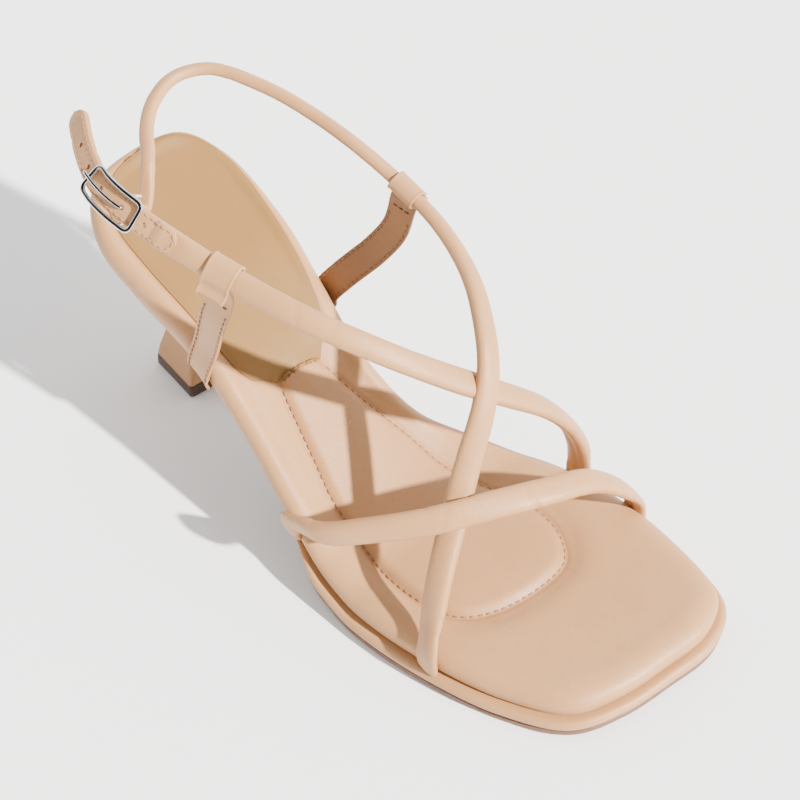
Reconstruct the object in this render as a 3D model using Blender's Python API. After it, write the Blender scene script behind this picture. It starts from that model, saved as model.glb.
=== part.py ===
"""Strappy heeled sandal, right foot: +X points to the toe, +Y to the inner (medial) side, +Z up.

The origin lies on the floor under the middle of the shoe's box. Sizes are in metres. Tables give places as
shares: along is a share of PAD_LENGTH from the heel's rear, across a share of PAD_WIDTH from the middle line
(minus is the outer, lateral side), and height a share of ANKLE_HEIGHT above the floor.
"""

import math
from collections import namedtuple

import bmesh
import bpy
import numpy as np
from mathutils import Matrix, Vector

# Overall sizes
PAD_LENGTH = 0.2261
PAD_WIDTH = 0.087
ANKLE_HEIGHT = 0.120
SEAT_LEVEL = 0.0760
GAP = 0.0003

# Sole layers
OUTSOLE_THICKNESS = 0.0022
OUTSOLE_INSET = 0.0006
OUTSOLE_BEVEL = 0.0005
OUTSOLE_START = 0.205
PLATFORM_THICKNESS = 0.0041
BOARD_THICKNESS = 0.0012
RAND_REACH = 0.0029
BOARD_INSET = 0.0020
PAD_THICKNESS = 0.0105
FOREFOOT_PAD_THICKNESS = 0.0084
PAD_BELLY = 0.45
PAD_UPPER_ROUND = 0.0050
PAD_LOWER_ROUND = 0.0025
PAD_DISH = 0.0013
DISH_INSET = 0.0065
SOCK_THICKNESS = 0.0008
SOCK_MARGIN = 0.0006
SOCK_FRONT = 0.355
SOCK_POINT_SHARE = 0.42

# Heel
HEEL_LENGTH = 0.0213
HEEL_WIDTH = 0.0243
HEEL_ALONG = 0.112
HEEL_ACROSS = 0.010
HEEL_TURN = math.radians(-9.5)
HEEL_CORNER = 0.12
TOP_PIECE_THICKNESS = 0.0050
TOP_PIECE_TAPER = 0.97

# Straps
STRAP_WIDTH = 0.0088
STRAP_THICKNESS = 0.0048
FOOT_THICKNESS = 0.0032
FOOT_OUTSET = 0.0003
FOOT_LIFT = 0.0005
BALL_START_LIFT = 0.0020
CORD_WIDTH = 0.0054
CORD_THICKNESS = 0.0042
CORD_TIP_WIDTH = 0.0045
CORD_TIP_THICKNESS = 0.0037
SLIM_WIDTH = 0.0076
FLAT_WIDTH = 0.0078
FLAT_THICKNESS = 0.0024
EYELET_END_WIDTH = 0.0050
EYELET_END_THICKNESS = 0.0026
CROSSING_JOIN = 0.0009
CROSSING_REACH = 0.018
NOTCH_CLEARANCE = 0.0004
NOTCH_REACH = 0.022
STRAP_STEP = 0.0042
OVAL_POWER = 0.82

# Loops
LOOP_WIDTH = 0.0098
LOOP_PLY = 0.0018
LOOP_CLEARANCE = 0.0004
LOOP_STAND = 0.0006
LOOP_TAB = 0.0038
LOOP_TAB_START = 0.0008
SLOPE_STEP = 0.002

# Buckle
BUCKLE_LENGTH = 0.0200
BUCKLE_WIRE = 0.0015
BUCKLE_CORNER = 0.0024
BAR_PLACE = 0.22
CROSS_BAR_WIRE = 0.00147
PRONG_WIRE = 0.0011
PRONG_BEND = 0.0012
PRONG_TIP = 0.0012
LINK_WIRE = 0.0010
LINK_LENGTH = 0.0085
LINK_CORNER = 0.0016
LINK_TILT = math.radians(80)
LINK_SLACK = 0.0009
HOLE_CLEARANCE = 0.0006
EYELET_EDGE = 0.0009

# Sampling
SPAN_STEPS = 8
SOLE_ROWS = 40
STRAP_SIDES = 10

Spot = namedtuple("Spot", "along across")
Place = namedtuple("Place", "along across height")
Rise = namedtuple("Rise", "along rise")
HeelRow = namedtuple("HeelRow", "height size shift roundness")
Girth = namedtuple("Girth", "share width thickness")
LoopPlace = namedtuple("LoopPlace", "foot top leg")

# Plan outline of the padded footbed: heel's rear, outer side, toe, inner side.
EDGE = [
    Spot(0.0, 0.0),
    Spot(0.012, -0.19),
    Spot(0.07, -0.312),
    Spot(0.15, -0.34),
    Spot(0.27, -0.345),
    Spot(0.37, -0.38),
    Spot(0.46, -0.43),
    Spot(0.55, -0.48),
    Spot(0.65, -0.50),
    Spot(0.76, -0.475),
    Spot(0.86, -0.415),
    Spot(0.945, -0.31),
    Spot(0.977, -0.15),
    Spot(0.993, 0.055),
    Spot(1.0, 0.24),
    Spot(0.975, 0.385),
    Spot(0.885, 0.47),
    Spot(0.77, 0.50),
    Spot(0.655, 0.46),
    Spot(0.555, 0.35),
    Spot(0.475, 0.215),
    Spot(0.39, 0.187),
    Spot(0.30, 0.231),
    Spot(0.195, 0.298),
    Spot(0.085, 0.313),
    Spot(0.02, 0.235),
]

# Height of the footbed's underside, from the ball's level (0) to the heel seat's level (1).
PROFILE = [
    Rise(0.0, 1.0),
    Rise(0.08, 0.9),
    Rise(0.16, 0.795),
    Rise(0.24, 0.69),
    Rise(0.31, 0.565),
    Rise(0.38, 0.405),
    Rise(0.45, 0.245),
    Rise(0.51, 0.125),
    Rise(0.56, 0.045),
    Rise(0.62, 0.0),
    Rise(0.84, 0.0),
    Rise(0.93, 0.015),
    Rise(1.0, 0.04),
]

# How far the sole has changed from its waist form (0) to its forefoot form (1).
FOREFOOT = [
    Rise(0.0, 0.0),
    Rise(0.42, 0.0),
    Rise(0.47, 0.3),
    Rise(0.55, 1.0),
    Rise(1.0, 1.0),
]

# Heel block from the top piece (0) to the seat (1): size is a share of the base, shift of HEEL_LENGTH.
HEEL_ROWS = [
    HeelRow(0.0, 0.97, 0.0, 0.0),
    HeelRow(0.07, 0.89, 0.0, 0.0),
    HeelRow(0.16, 0.75, -0.01, 0.0),
    HeelRow(0.27, 0.605, -0.02, 0.0),
    HeelRow(0.38, 0.51, -0.04, 0.02),
    HeelRow(0.50, 0.455, -0.06, 0.05),
    HeelRow(0.62, 0.46, -0.08, 0.10),
    HeelRow(0.73, 0.53, -0.10, 0.16),
    HeelRow(0.83, 0.71, -0.12, 0.25),
    HeelRow(0.92, 1.05, -0.15, 0.40),
    HeelRow(1.0, 1.50, -0.18, 0.55),
]

# The middle of the foot that the straps close round: their flat sides face away from it.
CORE = [
    Place(0.78, 0.01, 0.15),
    Place(0.60, 0.01, 0.33),
    Place(0.43, 0.01, 0.50),
    Place(0.27, 0.01, 0.62),
    Place(0.15, 0.01, 0.70),
]

# Ball strap, from the outer side over the toes to the inner side.
BALL_FEET = (0.485, 0.790)
BALL_ROUTE = [
    Place(0.487, -0.467, 0.204),
    Place(0.495, -0.48, 0.24),
    Place(0.515, -0.478, 0.263),
    Place(0.56, -0.468, 0.295),
    Place(0.617, -0.385, 0.346),
    Place(0.675, -0.255, 0.385),
    Place(0.722, -0.085, 0.405),
    Place(0.757, 0.09, 0.395),
    Place(0.777, 0.272, 0.348),
    Place(0.788, 0.415, 0.24),
]

# Ankle strap: outer toe side, over the instep, through the inner loop, round the heel to the link.
ANKLE_FOOT = 0.747
ANKLE_ROUTE = [
    Place(0.734, -0.42, 0.183),
    Place(0.716, -0.322, 0.279),
    Place(0.696, -0.207, 0.354),
    Place(0.674, -0.07, 0.454),
    Place(0.65, 0.07, 0.567),
    Place(0.61, 0.207, 0.668),
    Place(0.55, 0.333, 0.733),
    Place(0.47, 0.414, 0.775),
    Place(0.384, 0.437, 0.822),
    Place(0.308, 0.41, 0.888),
    Place(0.232, 0.385, 0.925),
    Place(0.165, 0.345, 0.952),
    Place(0.092, 0.257, 0.977),
    Place(0.068, 0.137, 0.978),
    Place(0.08, 0.003, 0.968),
    Place(0.103, -0.083, 0.95),
    Place(0.141, -0.171, 0.938),
]

# Buckle strap: inner side, under the ankle strap, through the outer loop and the buckle, to its free end.
BUCKLE_FOOT = 0.693
BUCKLE_ROUTE = [
    Place(0.694, 0.483, 0.158),
    Place(0.697, 0.462, 0.25),
    Place(0.694, 0.405, 0.363),
    Place(0.68, 0.316, 0.467),
    Place(0.652, 0.19, 0.557),
    Place(0.612, 0.04, 0.655),
    Place(0.552, -0.126, 0.767),
    Place(0.457, -0.247, 0.833),
    Place(0.351, -0.31, 0.865),
    Place(0.28, -0.348, 0.896),
    Place(0.21, -0.383, 0.933),
    Place(0.143, -0.383, 0.957),
    Place(0.086, -0.322, 0.969),
    Place(0.022, -0.212, 0.981),
]
BUCKLE_ALONG = 0.166

# Where each loop leaves the sole and where it holds its strap, along the shoe, and the way of its leg between.
INNER_LOOP = LoopPlace(
    0.312,
    0.393,
    [
        Place(0.3188, 0.287, 0.489),
        Place(0.3384, 0.322, 0.5425),
        Place(0.3547, 0.356, 0.587),
        Place(0.3795, 0.402, 0.677),
        Place(0.388, 0.425, 0.763),
    ],
)
OUTER_LOOP = LoopPlace(
    0.28,
    0.338,
    [
        Place(0.2994, -0.347, 0.572),
        Place(0.3131, -0.336, 0.676),
        Place(0.3273, -0.323, 0.766),
    ],
)

# Strap sections, as shares of each strap's length from its first foot.
BALL_GIRTHS = [
    Girth(0.0, STRAP_WIDTH, FOOT_THICKNESS),
    Girth(0.05, STRAP_WIDTH, FOOT_THICKNESS),
    Girth(0.14, STRAP_WIDTH, STRAP_THICKNESS),
    Girth(0.84, STRAP_WIDTH, STRAP_THICKNESS),
    Girth(0.93, STRAP_WIDTH, FOOT_THICKNESS),
    Girth(1.0, STRAP_WIDTH, FOOT_THICKNESS),
]
ANKLE_GIRTHS = [
    Girth(0.0, STRAP_WIDTH, FOOT_THICKNESS),
    Girth(0.03, STRAP_WIDTH, FOOT_THICKNESS),
    Girth(0.08, STRAP_WIDTH, STRAP_THICKNESS),
    Girth(0.30, SLIM_WIDTH, STRAP_THICKNESS),
    Girth(0.40, SLIM_WIDTH * 0.92, STRAP_THICKNESS),
    Girth(0.47, CORD_WIDTH * 1.15, CORD_THICKNESS * 1.08),
    Girth(0.53, CORD_WIDTH * 1.04, CORD_THICKNESS * 1.03),
    Girth(0.60, CORD_WIDTH, CORD_THICKNESS),
    Girth(0.93, CORD_TIP_WIDTH, CORD_TIP_THICKNESS),
    Girth(0.965, EYELET_END_WIDTH, EYELET_END_THICKNESS),
    Girth(1.0, EYELET_END_WIDTH, EYELET_END_THICKNESS),
]
BUCKLE_GIRTHS = [
    Girth(0.0, STRAP_WIDTH, FOOT_THICKNESS),
    Girth(0.04, STRAP_WIDTH, FOOT_THICKNESS),
    Girth(0.10, STRAP_WIDTH, STRAP_THICKNESS),
    Girth(0.30, STRAP_WIDTH, STRAP_THICKNESS),
    Girth(0.45, SLIM_WIDTH, STRAP_THICKNESS),
    Girth(0.72, SLIM_WIDTH, STRAP_THICKNESS),
    Girth(0.77, FLAT_WIDTH, FLAT_THICKNESS),
    Girth(1.0, FLAT_WIDTH, FLAT_THICKNESS),
]

SKIN = (0.80, 0.61, 0.49)
SOLE_EDGE = (0.45, 0.30, 0.24)
SOCK_TAN = (0.64, 0.47, 0.30)
TOP_BROWN = (0.20, 0.12, 0.08)
SILVER = (0.80, 0.80, 0.80)


def column(rows, name):
    return np.array([getattr(row, name) for row in rows])


def smooth(rows, name, at):
    """Monotone cubic through a table's column, so that a level stretch stays level."""
    x = np.array([row[0] for row in rows])
    y = column(rows, name)
    step = np.diff(x)
    slope = np.diff(y) / step
    bend = np.zeros(len(x))
    same = slope[:-1] * slope[1:] > 0
    before = 2 * step[1:] + step[:-1]
    after = step[1:] + 2 * step[:-1]
    safe = np.where(same, slope[:-1], 1.0), np.where(same, slope[1:], 1.0)
    bend[1:-1] = np.where(same, (before + after) / (before / safe[0] + after / safe[1]), 0.0)
    bend[0] = slope[0]
    bend[-1] = slope[-1]
    at = np.clip(np.asarray(at, float), x[0], x[-1])
    i = np.clip(np.searchsorted(x, at, side="right") - 1, 0, len(x) - 2)
    t = (at - x[i]) / step[i]
    rise = y[i] * (1 + 2 * t) * (1 - t) ** 2 + y[i + 1] * t * t * (3 - 2 * t)
    turn = step[i] * (bend[i] * t * (1 - t) ** 2 - bend[i + 1] * t * t * (1 - t))
    return rise + turn


def along_to_x(along):
    """The box runs from the heel's rear to the rand in front of the toe, and the origin is at its middle."""
    return np.asarray(along) * PAD_LENGTH - (PAD_LENGTH + RAND_REACH) / 2


def x_to_along(x):
    return (np.asarray(x) + (PAD_LENGTH + RAND_REACH) / 2) / PAD_LENGTH


def point(place):
    return np.array([along_to_x(place.along), place.across * PAD_WIDTH, place.height * ANKLE_HEIGHT])


def forefoot(x):
    return smooth(FOREFOOT, "rise", x_to_along(x))


def platform_thickness(x):
    return BOARD_THICKNESS + (PLATFORM_THICKNESS - BOARD_THICKNESS) * forefoot(x)


def feather(x):
    """Height of the footbed's underside."""
    ball = OUTSOLE_THICKNESS + GAP + PLATFORM_THICKNESS + GAP
    return ball + (SEAT_LEVEL - ball) * smooth(PROFILE, "rise", x_to_along(x))


def pad_thickness(x):
    return PAD_THICKNESS + (FOREFOOT_PAD_THICKNESS - PAD_THICKNESS) * forefoot(x)


def knots(points, closed):
    """Centripetal spacing of a curve's points, with which close points give no loops."""
    ends = np.roll(points, -1, axis=0) if closed else points[1:]
    starts = points if closed else points[:-1]
    return np.sqrt(np.linalg.norm(ends - starts, axis=1))


def spline(points, closed, steps, spacing=None):
    """Smooth curve through the points: steps gives how many samples each span has."""
    points = np.array(points)
    count = len(points)
    spacing = knots(points, closed) if spacing is None else spacing
    slopes = (np.roll(points, -1, axis=0) - points)[: len(spacing)] / spacing[:, None]
    bends = []
    for i in range(count):
        if closed or 0 < i < count - 1:
            before, after = spacing[i - 1], spacing[i]
            bends.append((slopes[i - 1] * after + slopes[i] * before) / (before + after))
        else:
            bends.append(slopes[0] if i == 0 else slopes[-1])
    samples = []
    for i in range(len(spacing)):
        j = (i + 1) % count
        for t in np.arange(steps[i]) / steps[i]:
            turn = bends[i] * t * (1 - t) ** 2 - bends[j] * t * t * (1 - t)
            level = points[i] * (1 + 2 * t) * (1 - t) ** 2 + points[j] * t * t * (3 - 2 * t)
            samples.append(level + turn * spacing[i])
    if not closed:
        samples.append(points[-1])
    return np.array(samples)


def run_lengths(path):
    """Length along a path up to each of its points."""
    return np.concatenate([[0], np.cumsum(np.linalg.norm(np.diff(path, axis=0), axis=1))])


def outline():
    """The footbed's edge in plan as (outer, inner) rows of point and outward normal, from heel to toe."""
    spots = np.array([[along_to_x(spot.along), spot.across * PAD_WIDTH] for spot in EDGE])
    edge = spline(spots, True, [SPAN_STEPS] * len(spots))
    run = np.roll(edge, -1, axis=0) - np.roll(edge, 1, axis=0)
    normal = np.stack([run[:, 1], -run[:, 0]], axis=1)
    normal /= np.linalg.norm(normal, axis=1)[:, None]
    toe = int(column(EDGE, "along").argmax()) * SPAN_STEPS
    sides = []
    for order in (np.arange(toe + 1), -np.arange(len(edge) - toe + 1) % len(edge)):
        length = run_lengths(edge[order])
        at = np.linspace(0, length[-1], SOLE_ROWS + 1)
        rows = [np.stack([np.interp(at, length, field[order, i]) for i in (0, 1)], axis=1) for field in (edge, normal)]
        sides.append((rows[0], rows[1] / np.linalg.norm(rows[1], axis=1)[:, None]))
    return sides


OUTER, INNER = outline()


def edge_at(side, along):
    """Point and outward normal of the outline on one side."""
    edge, normal = side
    share = x_to_along(edge[:, 0])
    spot = np.array([np.interp(along, share, edge[:, i]) for i in range(2)])
    out = np.array([np.interp(along, share, normal[:, i]) for i in range(2)])
    return spot, out / np.linalg.norm(out)


def on_edge(side, along, outset, height):
    """A point beside the footbed's edge, height above its underside."""
    spot, out = edge_at(side, along)
    spot = spot + out * outset
    return np.array([spot[0], spot[1], feather(spot[0]) + height])


def material(name, colour, roughness, metallic=0.0):
    made = bpy.data.materials.new(name)
    made.use_nodes = True
    shader = made.node_tree.nodes["Principled BSDF"]
    shader.inputs["Base Color"].default_value = (*colour, 1.0)
    shader.inputs["Roughness"].default_value = roughness
    shader.inputs["Metallic"].default_value = metallic
    return made


def clear_scene():
    for old in list(bpy.data.objects):
        bpy.data.objects.remove(old, do_unlink=True)


def make_collection(name, hidden):
    made = bpy.data.collections.new(name)
    made.hide_render = hidden
    bpy.context.scene.collection.children.link(made)
    return made


def add_mesh(name, verts, faces, collection, finish=None):
    mesh = bpy.data.meshes.new(name)
    mesh.from_pydata([tuple(vert) for vert in verts], [], faces)
    work = bmesh.new()
    work.from_mesh(mesh)
    bmesh.ops.remove_doubles(work, verts=work.verts, dist=1e-6)
    bmesh.ops.recalc_face_normals(work, faces=work.faces)
    bmesh.ops.triangulate(work, faces=[face for face in work.faces if len(face.verts) > 4])
    work.to_mesh(mesh)
    work.free()
    mesh.shade_smooth()
    mesh.set_sharp_from_angle(angle=math.radians(35))
    return add_object(name, mesh, collection, finish)


def add_object(name, data, collection, finish=None):
    made = bpy.data.objects.new(name, data)
    collection.objects.link(made)
    if finish:
        data.materials.append(finish)
    if collection.hide_render:
        made.hide_render = True
        made.display_type = "WIRE"
    return made


def loft(name, loops, collection, finish=None, capped=True):
    """Closed loops of equal length, joined one to the next."""
    size = len(loops[0])
    verts = [vert for loop in loops for vert in loop]
    faces = []
    for i in range(len(loops) - 1):
        for j in range(size):
            k = (j + 1) % size
            faces.append([i * size + j, i * size + k, (i + 1) * size + k, (i + 1) * size + j])
    if capped:
        faces.append(list(range(size)))
        faces.append([(len(loops) - 1) * size + j for j in range(size)])
    return add_mesh(name, verts, faces, collection, finish)


def boolean(target, other, operation):
    modifier = target.modifiers.new(f"{operation} {other.name}".lower(), "BOOLEAN")
    modifier.object = other
    modifier.operation = operation
    modifier.solver = "EXACT"


def across_rows(start, end, count, height):
    """Points between two edge points, each at the footbed's underside plus a height."""
    rows = []
    for t in np.arange(1, count + 1) / (count + 1):
        x, y = start[:2] + (end[:2] - start[:2]) * t
        rows.append([x, y, feather(x) + height(x)])
    return rows


def layer(name, profile, top, bottom, columns, collection, finish, first=0, last=None):
    """A sole layer: cross sections from heel to toe, with the same side profile on both edges.

    profile(x) lists (outset, height) from bottom to top, and top and bottom give the faces' heights.
    """
    last = len(OUTER[0]) - 1 if last is None else last
    loops = []
    for k in range(first, last + 1):
        sides = []
        for edge, normal in (OUTER, INNER):
            rows = []
            for outset, height in profile(edge[k][0]):
                x, y = edge[k] + normal[k] * outset
                rows.append(np.array([x, y, feather(x) + height]))
            sides.append(rows)
        outer, inner = sides
        loop = list(outer)
        loop += across_rows(outer[-1], inner[-1], columns, top)
        loop += inner[::-1]
        loop += across_rows(inner[0], outer[0], columns, bottom)
        loops.append(loop)
    whole = first == 0 and last == len(OUTER[0]) - 1
    if whole:
        return loft(name, loops, collection, finish, capped=False)
    return loft_half_open(name, loops, first == 0, collection, finish)


def loft_half_open(name, loops, starts_at_heel, collection, finish):
    """A layer cut across at one end: that end has a cap, and the other closes by itself."""
    size = len(loops[0])
    verts = [vert for loop in loops for vert in loop]
    faces = []
    for i in range(len(loops) - 1):
        for j in range(size):
            k = (j + 1) % size
            faces.append([i * size + j, i * size + k, (i + 1) * size + k, (i + 1) * size + j])
    cap = (len(loops) - 1) * size if starts_at_heel else 0
    faces.append([cap + j for j in range(size)])
    return add_mesh(name, verts, faces, collection, finish)


def pad_side(x):
    """Half-round side of the footbed, from its underside up to the dish."""
    thickness = pad_thickness(x)
    belly = PAD_BELLY * thickness
    rows = []
    for angle in np.radians([-90, -50, -20]):
        rows.append((-PAD_LOWER_ROUND * (1 - math.cos(angle)), belly * (1 + math.sin(angle))))
    for angle in np.radians([15, 45, 90]):
        rows.append((-PAD_UPPER_ROUND * (1 - math.cos(angle)), belly + (thickness - belly) * math.sin(angle)))
    rows.append((-DISH_INSET, thickness - PAD_DISH))
    return rows


def platform_reach(x):
    return -BOARD_INSET + (RAND_REACH + BOARD_INSET) * forefoot(x)


def platform_side(x):
    """The rand's rounded edge at the forefoot, and the thin board's edge at the waist."""
    thickness = platform_thickness(x)
    reach = platform_reach(x)
    roll = thickness / 2
    rows = []
    for angle in np.radians([-90, -45, 0, 45, 90]):
        rows.append((reach - roll * (1 - math.cos(angle)), -GAP - roll + roll * math.sin(angle)))
    return rows


def outsole_level(x):
    return -2 * GAP - platform_thickness(x)


def outsole_side(x):
    reach = platform_reach(x) - OUTSOLE_INSET
    top = outsole_level(x)
    low = top - OUTSOLE_THICKNESS
    return [(reach - OUTSOLE_BEVEL, low), (reach, low + OUTSOLE_BEVEL), (reach, top)]


def build_outsole(collection, finish):
    first = int(np.argmax(x_to_along(OUTER[0][:, 0]) >= OUTSOLE_START))
    return layer(
        "outsole",
        outsole_side,
        outsole_level,
        lambda x: outsole_level(x) - OUTSOLE_THICKNESS,
        4,
        collection,
        finish,
        first=first,
    )


def platform_underside(x):
    return -GAP - platform_thickness(x)


def build_platform(collection, finish):
    return layer("insole_platform", platform_side, lambda x: -GAP, platform_underside, 4, collection, finish)


def dish_level(x):
    return pad_thickness(x) - PAD_DISH


def build_footbed(collection, finish):
    return layer("footbed", pad_side, dish_level, lambda x: 0.0, 6, collection, finish)


def build_sock(collection, finish):
    """A thin sheet in the footbed's dish: its front is straight between two points, with rounded lobes."""
    inset = DISH_INSET + SOCK_MARGIN
    last = int(np.argmax(x_to_along(OUTER[0][:, 0]) > SOCK_FRONT)) - 1
    loops = []
    lobe = 2
    for k in range(last + 1):
        fade = max(0, k - (last - lobe)) / lobe
        extra = SOCK_POINT_SHARE * (1 - math.sqrt(1 - min(fade, 1.0) ** 2))
        ends = [edge[k] - normal[k] * inset for edge, normal in (OUTER, INNER)]
        middle = (ends[0] + ends[1]) / 2
        ends = [end + (middle - end) * extra for end in ends]
        across = np.linspace(0, 1, 8)
        spots = [ends[0] + (ends[1] - ends[0]) * t for t in across]
        lower = [[x, y, feather(x) + dish_level(x) + GAP] for x, y in spots]
        upper = [[x, y, z + SOCK_THICKNESS] for x, y, z in lower]
        loops.append(upper + lower[::-1])
    return loft_half_open("heel_sock", loops, True, collection, finish)


def heel_ring(row, corner_steps=3):
    """A rectangle with small corners that turns rounder toward the seat, turned as the heel is."""
    turn = Matrix.Rotation(HEEL_TURN, 2)
    middle = Vector((along_to_x(HEEL_ALONG), HEEL_ACROSS * PAD_WIDTH))
    half = np.array([HEEL_LENGTH, HEEL_WIDTH]) * row.size / 2
    radius = (HEEL_CORNER + (1 - HEEL_CORNER) * row.roundness) * half
    ring = []
    for quarter in range(4):
        corner = np.sign([math.cos(quarter * math.pi / 2 + 0.1), math.sin(quarter * math.pi / 2 + 0.1)])
        for step in range(corner_steps):
            angle = (quarter + step / (corner_steps - 1)) * math.pi / 2
            x, y = corner * (half - radius) + radius * np.array([math.cos(angle), math.sin(angle)])
            ring.append(turn @ Vector((x + row.shift * HEEL_LENGTH, y)) + middle)
    return ring


def seat_underside(x):
    return feather(x) + outsole_level(x)


def build_heel(collection, finish):
    """Spool heel: a square base that narrows to a neck and flares out under the seat."""
    base = TOP_PIECE_THICKNESS + GAP
    loops = []
    for row in HEEL_ROWS:
        loops.append([(x, y, base + (seat_underside(x) - base) * row.height) for x, y in heel_ring(row)])
    for share in (0.66, 0.33):
        top = HEEL_ROWS[-1]
        ring = heel_ring(top._replace(size=top.size * share))
        loops.append([(x, y, seat_underside(x)) for x, y in ring])
    return loft("heel_block", loops, collection, finish)


def build_top_piece(collection, finish):
    loops = []
    for size, z in ((1.0, 0.0), (TOP_PIECE_TAPER, TOP_PIECE_THICKNESS)):
        loops.append([(x, y, z) for x, y in heel_ring(HeelRow(0.0, size, 0.0, 0.0))])
    return loft("heel_top_piece", loops, collection, finish)


def nearest_core(spot):
    """The point of the foot's middle line that is nearest."""
    core = np.array([point(place) for place in CORE])
    best = None
    for start, end in zip(core[:-1], core[1:]):
        run = end - start
        t = np.clip((spot - start) @ run / (run @ run), 0, 1)
        near = start + run * t
        distance = np.linalg.norm(spot - near)
        if best is None or distance < best[0]:
            best = (distance, near)
    return best[1]


def frames(path):
    """Unit vectors along the path, away from the foot, and across the strap."""
    run = np.gradient(path, axis=0)
    run /= np.linalg.norm(run, axis=1)[:, None]
    away = path - np.array([nearest_core(spot) for spot in path])
    for _ in range(6):
        away[1:-1] = (away[:-2] + 2 * away[1:-1] + away[2:]) / 4
    away -= run * np.sum(away * run, axis=1)[:, None]
    away /= np.linalg.norm(away, axis=1)[:, None]
    return run, away, np.cross(away, run)


def sample_route(points):
    points = np.array(points)
    spans = np.linalg.norm(np.diff(points, axis=0), axis=1)
    return spline(points, False, [max(2, round(span / STRAP_STEP)) for span in spans])


def path_shares(path):
    length = run_lengths(path)
    return length / length[-1]


def share_at(path, along):
    """Share of a strap's length at which it passes a place along the shoe on its way to the heel."""
    x = path[:, 0]
    passed = np.nonzero((x[:-1] >= along_to_x(along)) & (x[1:] < along_to_x(along)))[0][0]
    shares = path_shares(path)
    part = (x[passed] - along_to_x(along)) / (x[passed] - x[passed + 1])
    return shares[passed] + (shares[passed + 1] - shares[passed]) * part


def lift_over(upper, lower, distance):
    """Moves the upper path out where it crosses the lower one, so that their middles keep a distance."""
    gaps = np.linalg.norm(upper[:, None] - lower[None], axis=2)
    i, j = np.unravel_index(gaps.argmin(), gaps.shape)
    away = frames(lower)[1][j]
    missing = distance - (upper[i] - lower[j]) @ away
    length = path_shares(upper) * np.linalg.norm(np.diff(upper, axis=0), axis=1).sum()
    bump = np.exp(-(((length - length[i]) / CROSSING_REACH) ** 2))
    return upper + bump[:, None] * away * missing


def fat_oval(angles):
    """Points of an oval that is fuller than an ellipse, for half sizes of one."""
    c, s = np.cos(angles), np.sin(angles)
    return np.sign(c) * np.abs(c) ** OVAL_POWER, np.sign(s) * np.abs(s) ** OVAL_POWER


def sweep(name, path, girths, collection, finish=None, grow=0.0, keep=None):
    """A strap along a path: its section is a fat oval whose size follows the table of girths."""
    run, away, side = frames(path)
    share = path_shares(path)
    width = smooth(girths, "width", share) + 2 * grow
    thickness = smooth(girths, "thickness", share) + 2 * grow
    c, s = fat_oval((np.arange(STRAP_SIDES) + 0.5) * 2 * math.pi / STRAP_SIDES)
    loops = []
    for i in range(len(path)) if keep is None else keep:
        loops.append([path[i] + side[i] * width[i] / 2 * a + away[i] * thickness[i] / 2 * b for a, b in zip(c, s)])
    return loft(name, loops, collection, finish)


def strap_foot(side, along):
    """A strap's end on the rand's ledge, pressed into the footbed's side."""
    return [on_edge(side, along, FOOT_OUTSET, FOOT_LIFT), on_edge(side, along, FOOT_OUTSET, FOREFOOT_PAD_THICKNESS)]


def strap_paths():
    """Sampled middle lines of the three straps, each set to touch the one that it crosses."""
    buckle_strap = strap_foot(INNER, BUCKLE_FOOT) + [point(place) for place in BUCKLE_ROUTE]
    buckle_strap = sample_route(buckle_strap)
    ankle_strap = strap_foot(OUTER, ANKLE_FOOT) + [point(place) for place in ANKLE_ROUTE]
    link = link_places(buckle_strap)
    ankle_strap += [link["eyelet_start"], link["strap_end"]]
    ankle_strap = sample_route(ankle_strap)
    start, end = BALL_FEET
    ball_strap = [on_edge(OUTER, start, FOOT_OUTSET, BALL_START_LIFT)]
    ball_strap += [point(place) for place in BALL_ROUTE]
    ball_strap = sample_route(ball_strap + strap_foot(INNER, end)[::-1])
    touch = STRAP_THICKNESS - CROSSING_JOIN
    ankle_strap = lift_over(ankle_strap, buckle_strap, touch)
    ball_strap = lift_over(ball_strap, ankle_strap, touch)
    return ball_strap, ankle_strap, buckle_strap


def local_frame(path, share):
    """Point and unit vectors of a strap at a share of its length."""
    run, away, side = frames(path)
    shares = path_shares(path)
    spot = np.array([np.interp(share, shares, path[:, i]) for i in range(3)])
    vectors = []
    for field in (run, away, side):
        vector = np.array([np.interp(share, shares, field[:, i]) for i in range(3)])
        vectors.append(vector / np.linalg.norm(vector))
    return spot, *vectors


def strap_length(path):
    return np.linalg.norm(np.diff(path, axis=0), axis=1).sum()


def bar_drop():
    """How far the cross bar lies inside the strap's middle: the prong's eye fits between them."""
    return FLAT_THICKNESS / 2 + GAP + PRONG_WIRE + GAP + BUCKLE_WIRE / 2


def link_places(buckle_strap):
    """The link round the cross bar, beside the prong's eye, and the eyelet that it passes through."""
    spot, run, away, side = buckle_frame_at(buckle_strap, BAR_PLACE)
    beside = side * (PRONG_WIRE / 2 + GAP + LINK_WIRE / 2)
    bar = spot - away * bar_drop() + beside
    back = run * math.cos(LINK_TILT) - away * math.sin(LINK_TILT)
    before = BUCKLE_WIRE / 2 + GAP + LINK_WIRE / 2
    rear = bar + back * (LINK_LENGTH - LINK_WIRE - before)
    return {
        "front": bar - back * before,
        "rear": rear,
        "back": back,
        "out": np.cross(back, side),
        "eyelet_start": rear + back * LINK_LENGTH / 2,
        "strap_end": rear - back * (eyelet_radius() + EYELET_EDGE),
    }


def eyelet_radius():
    return LINK_WIRE / 2 + HOLE_CLEARANCE


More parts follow.
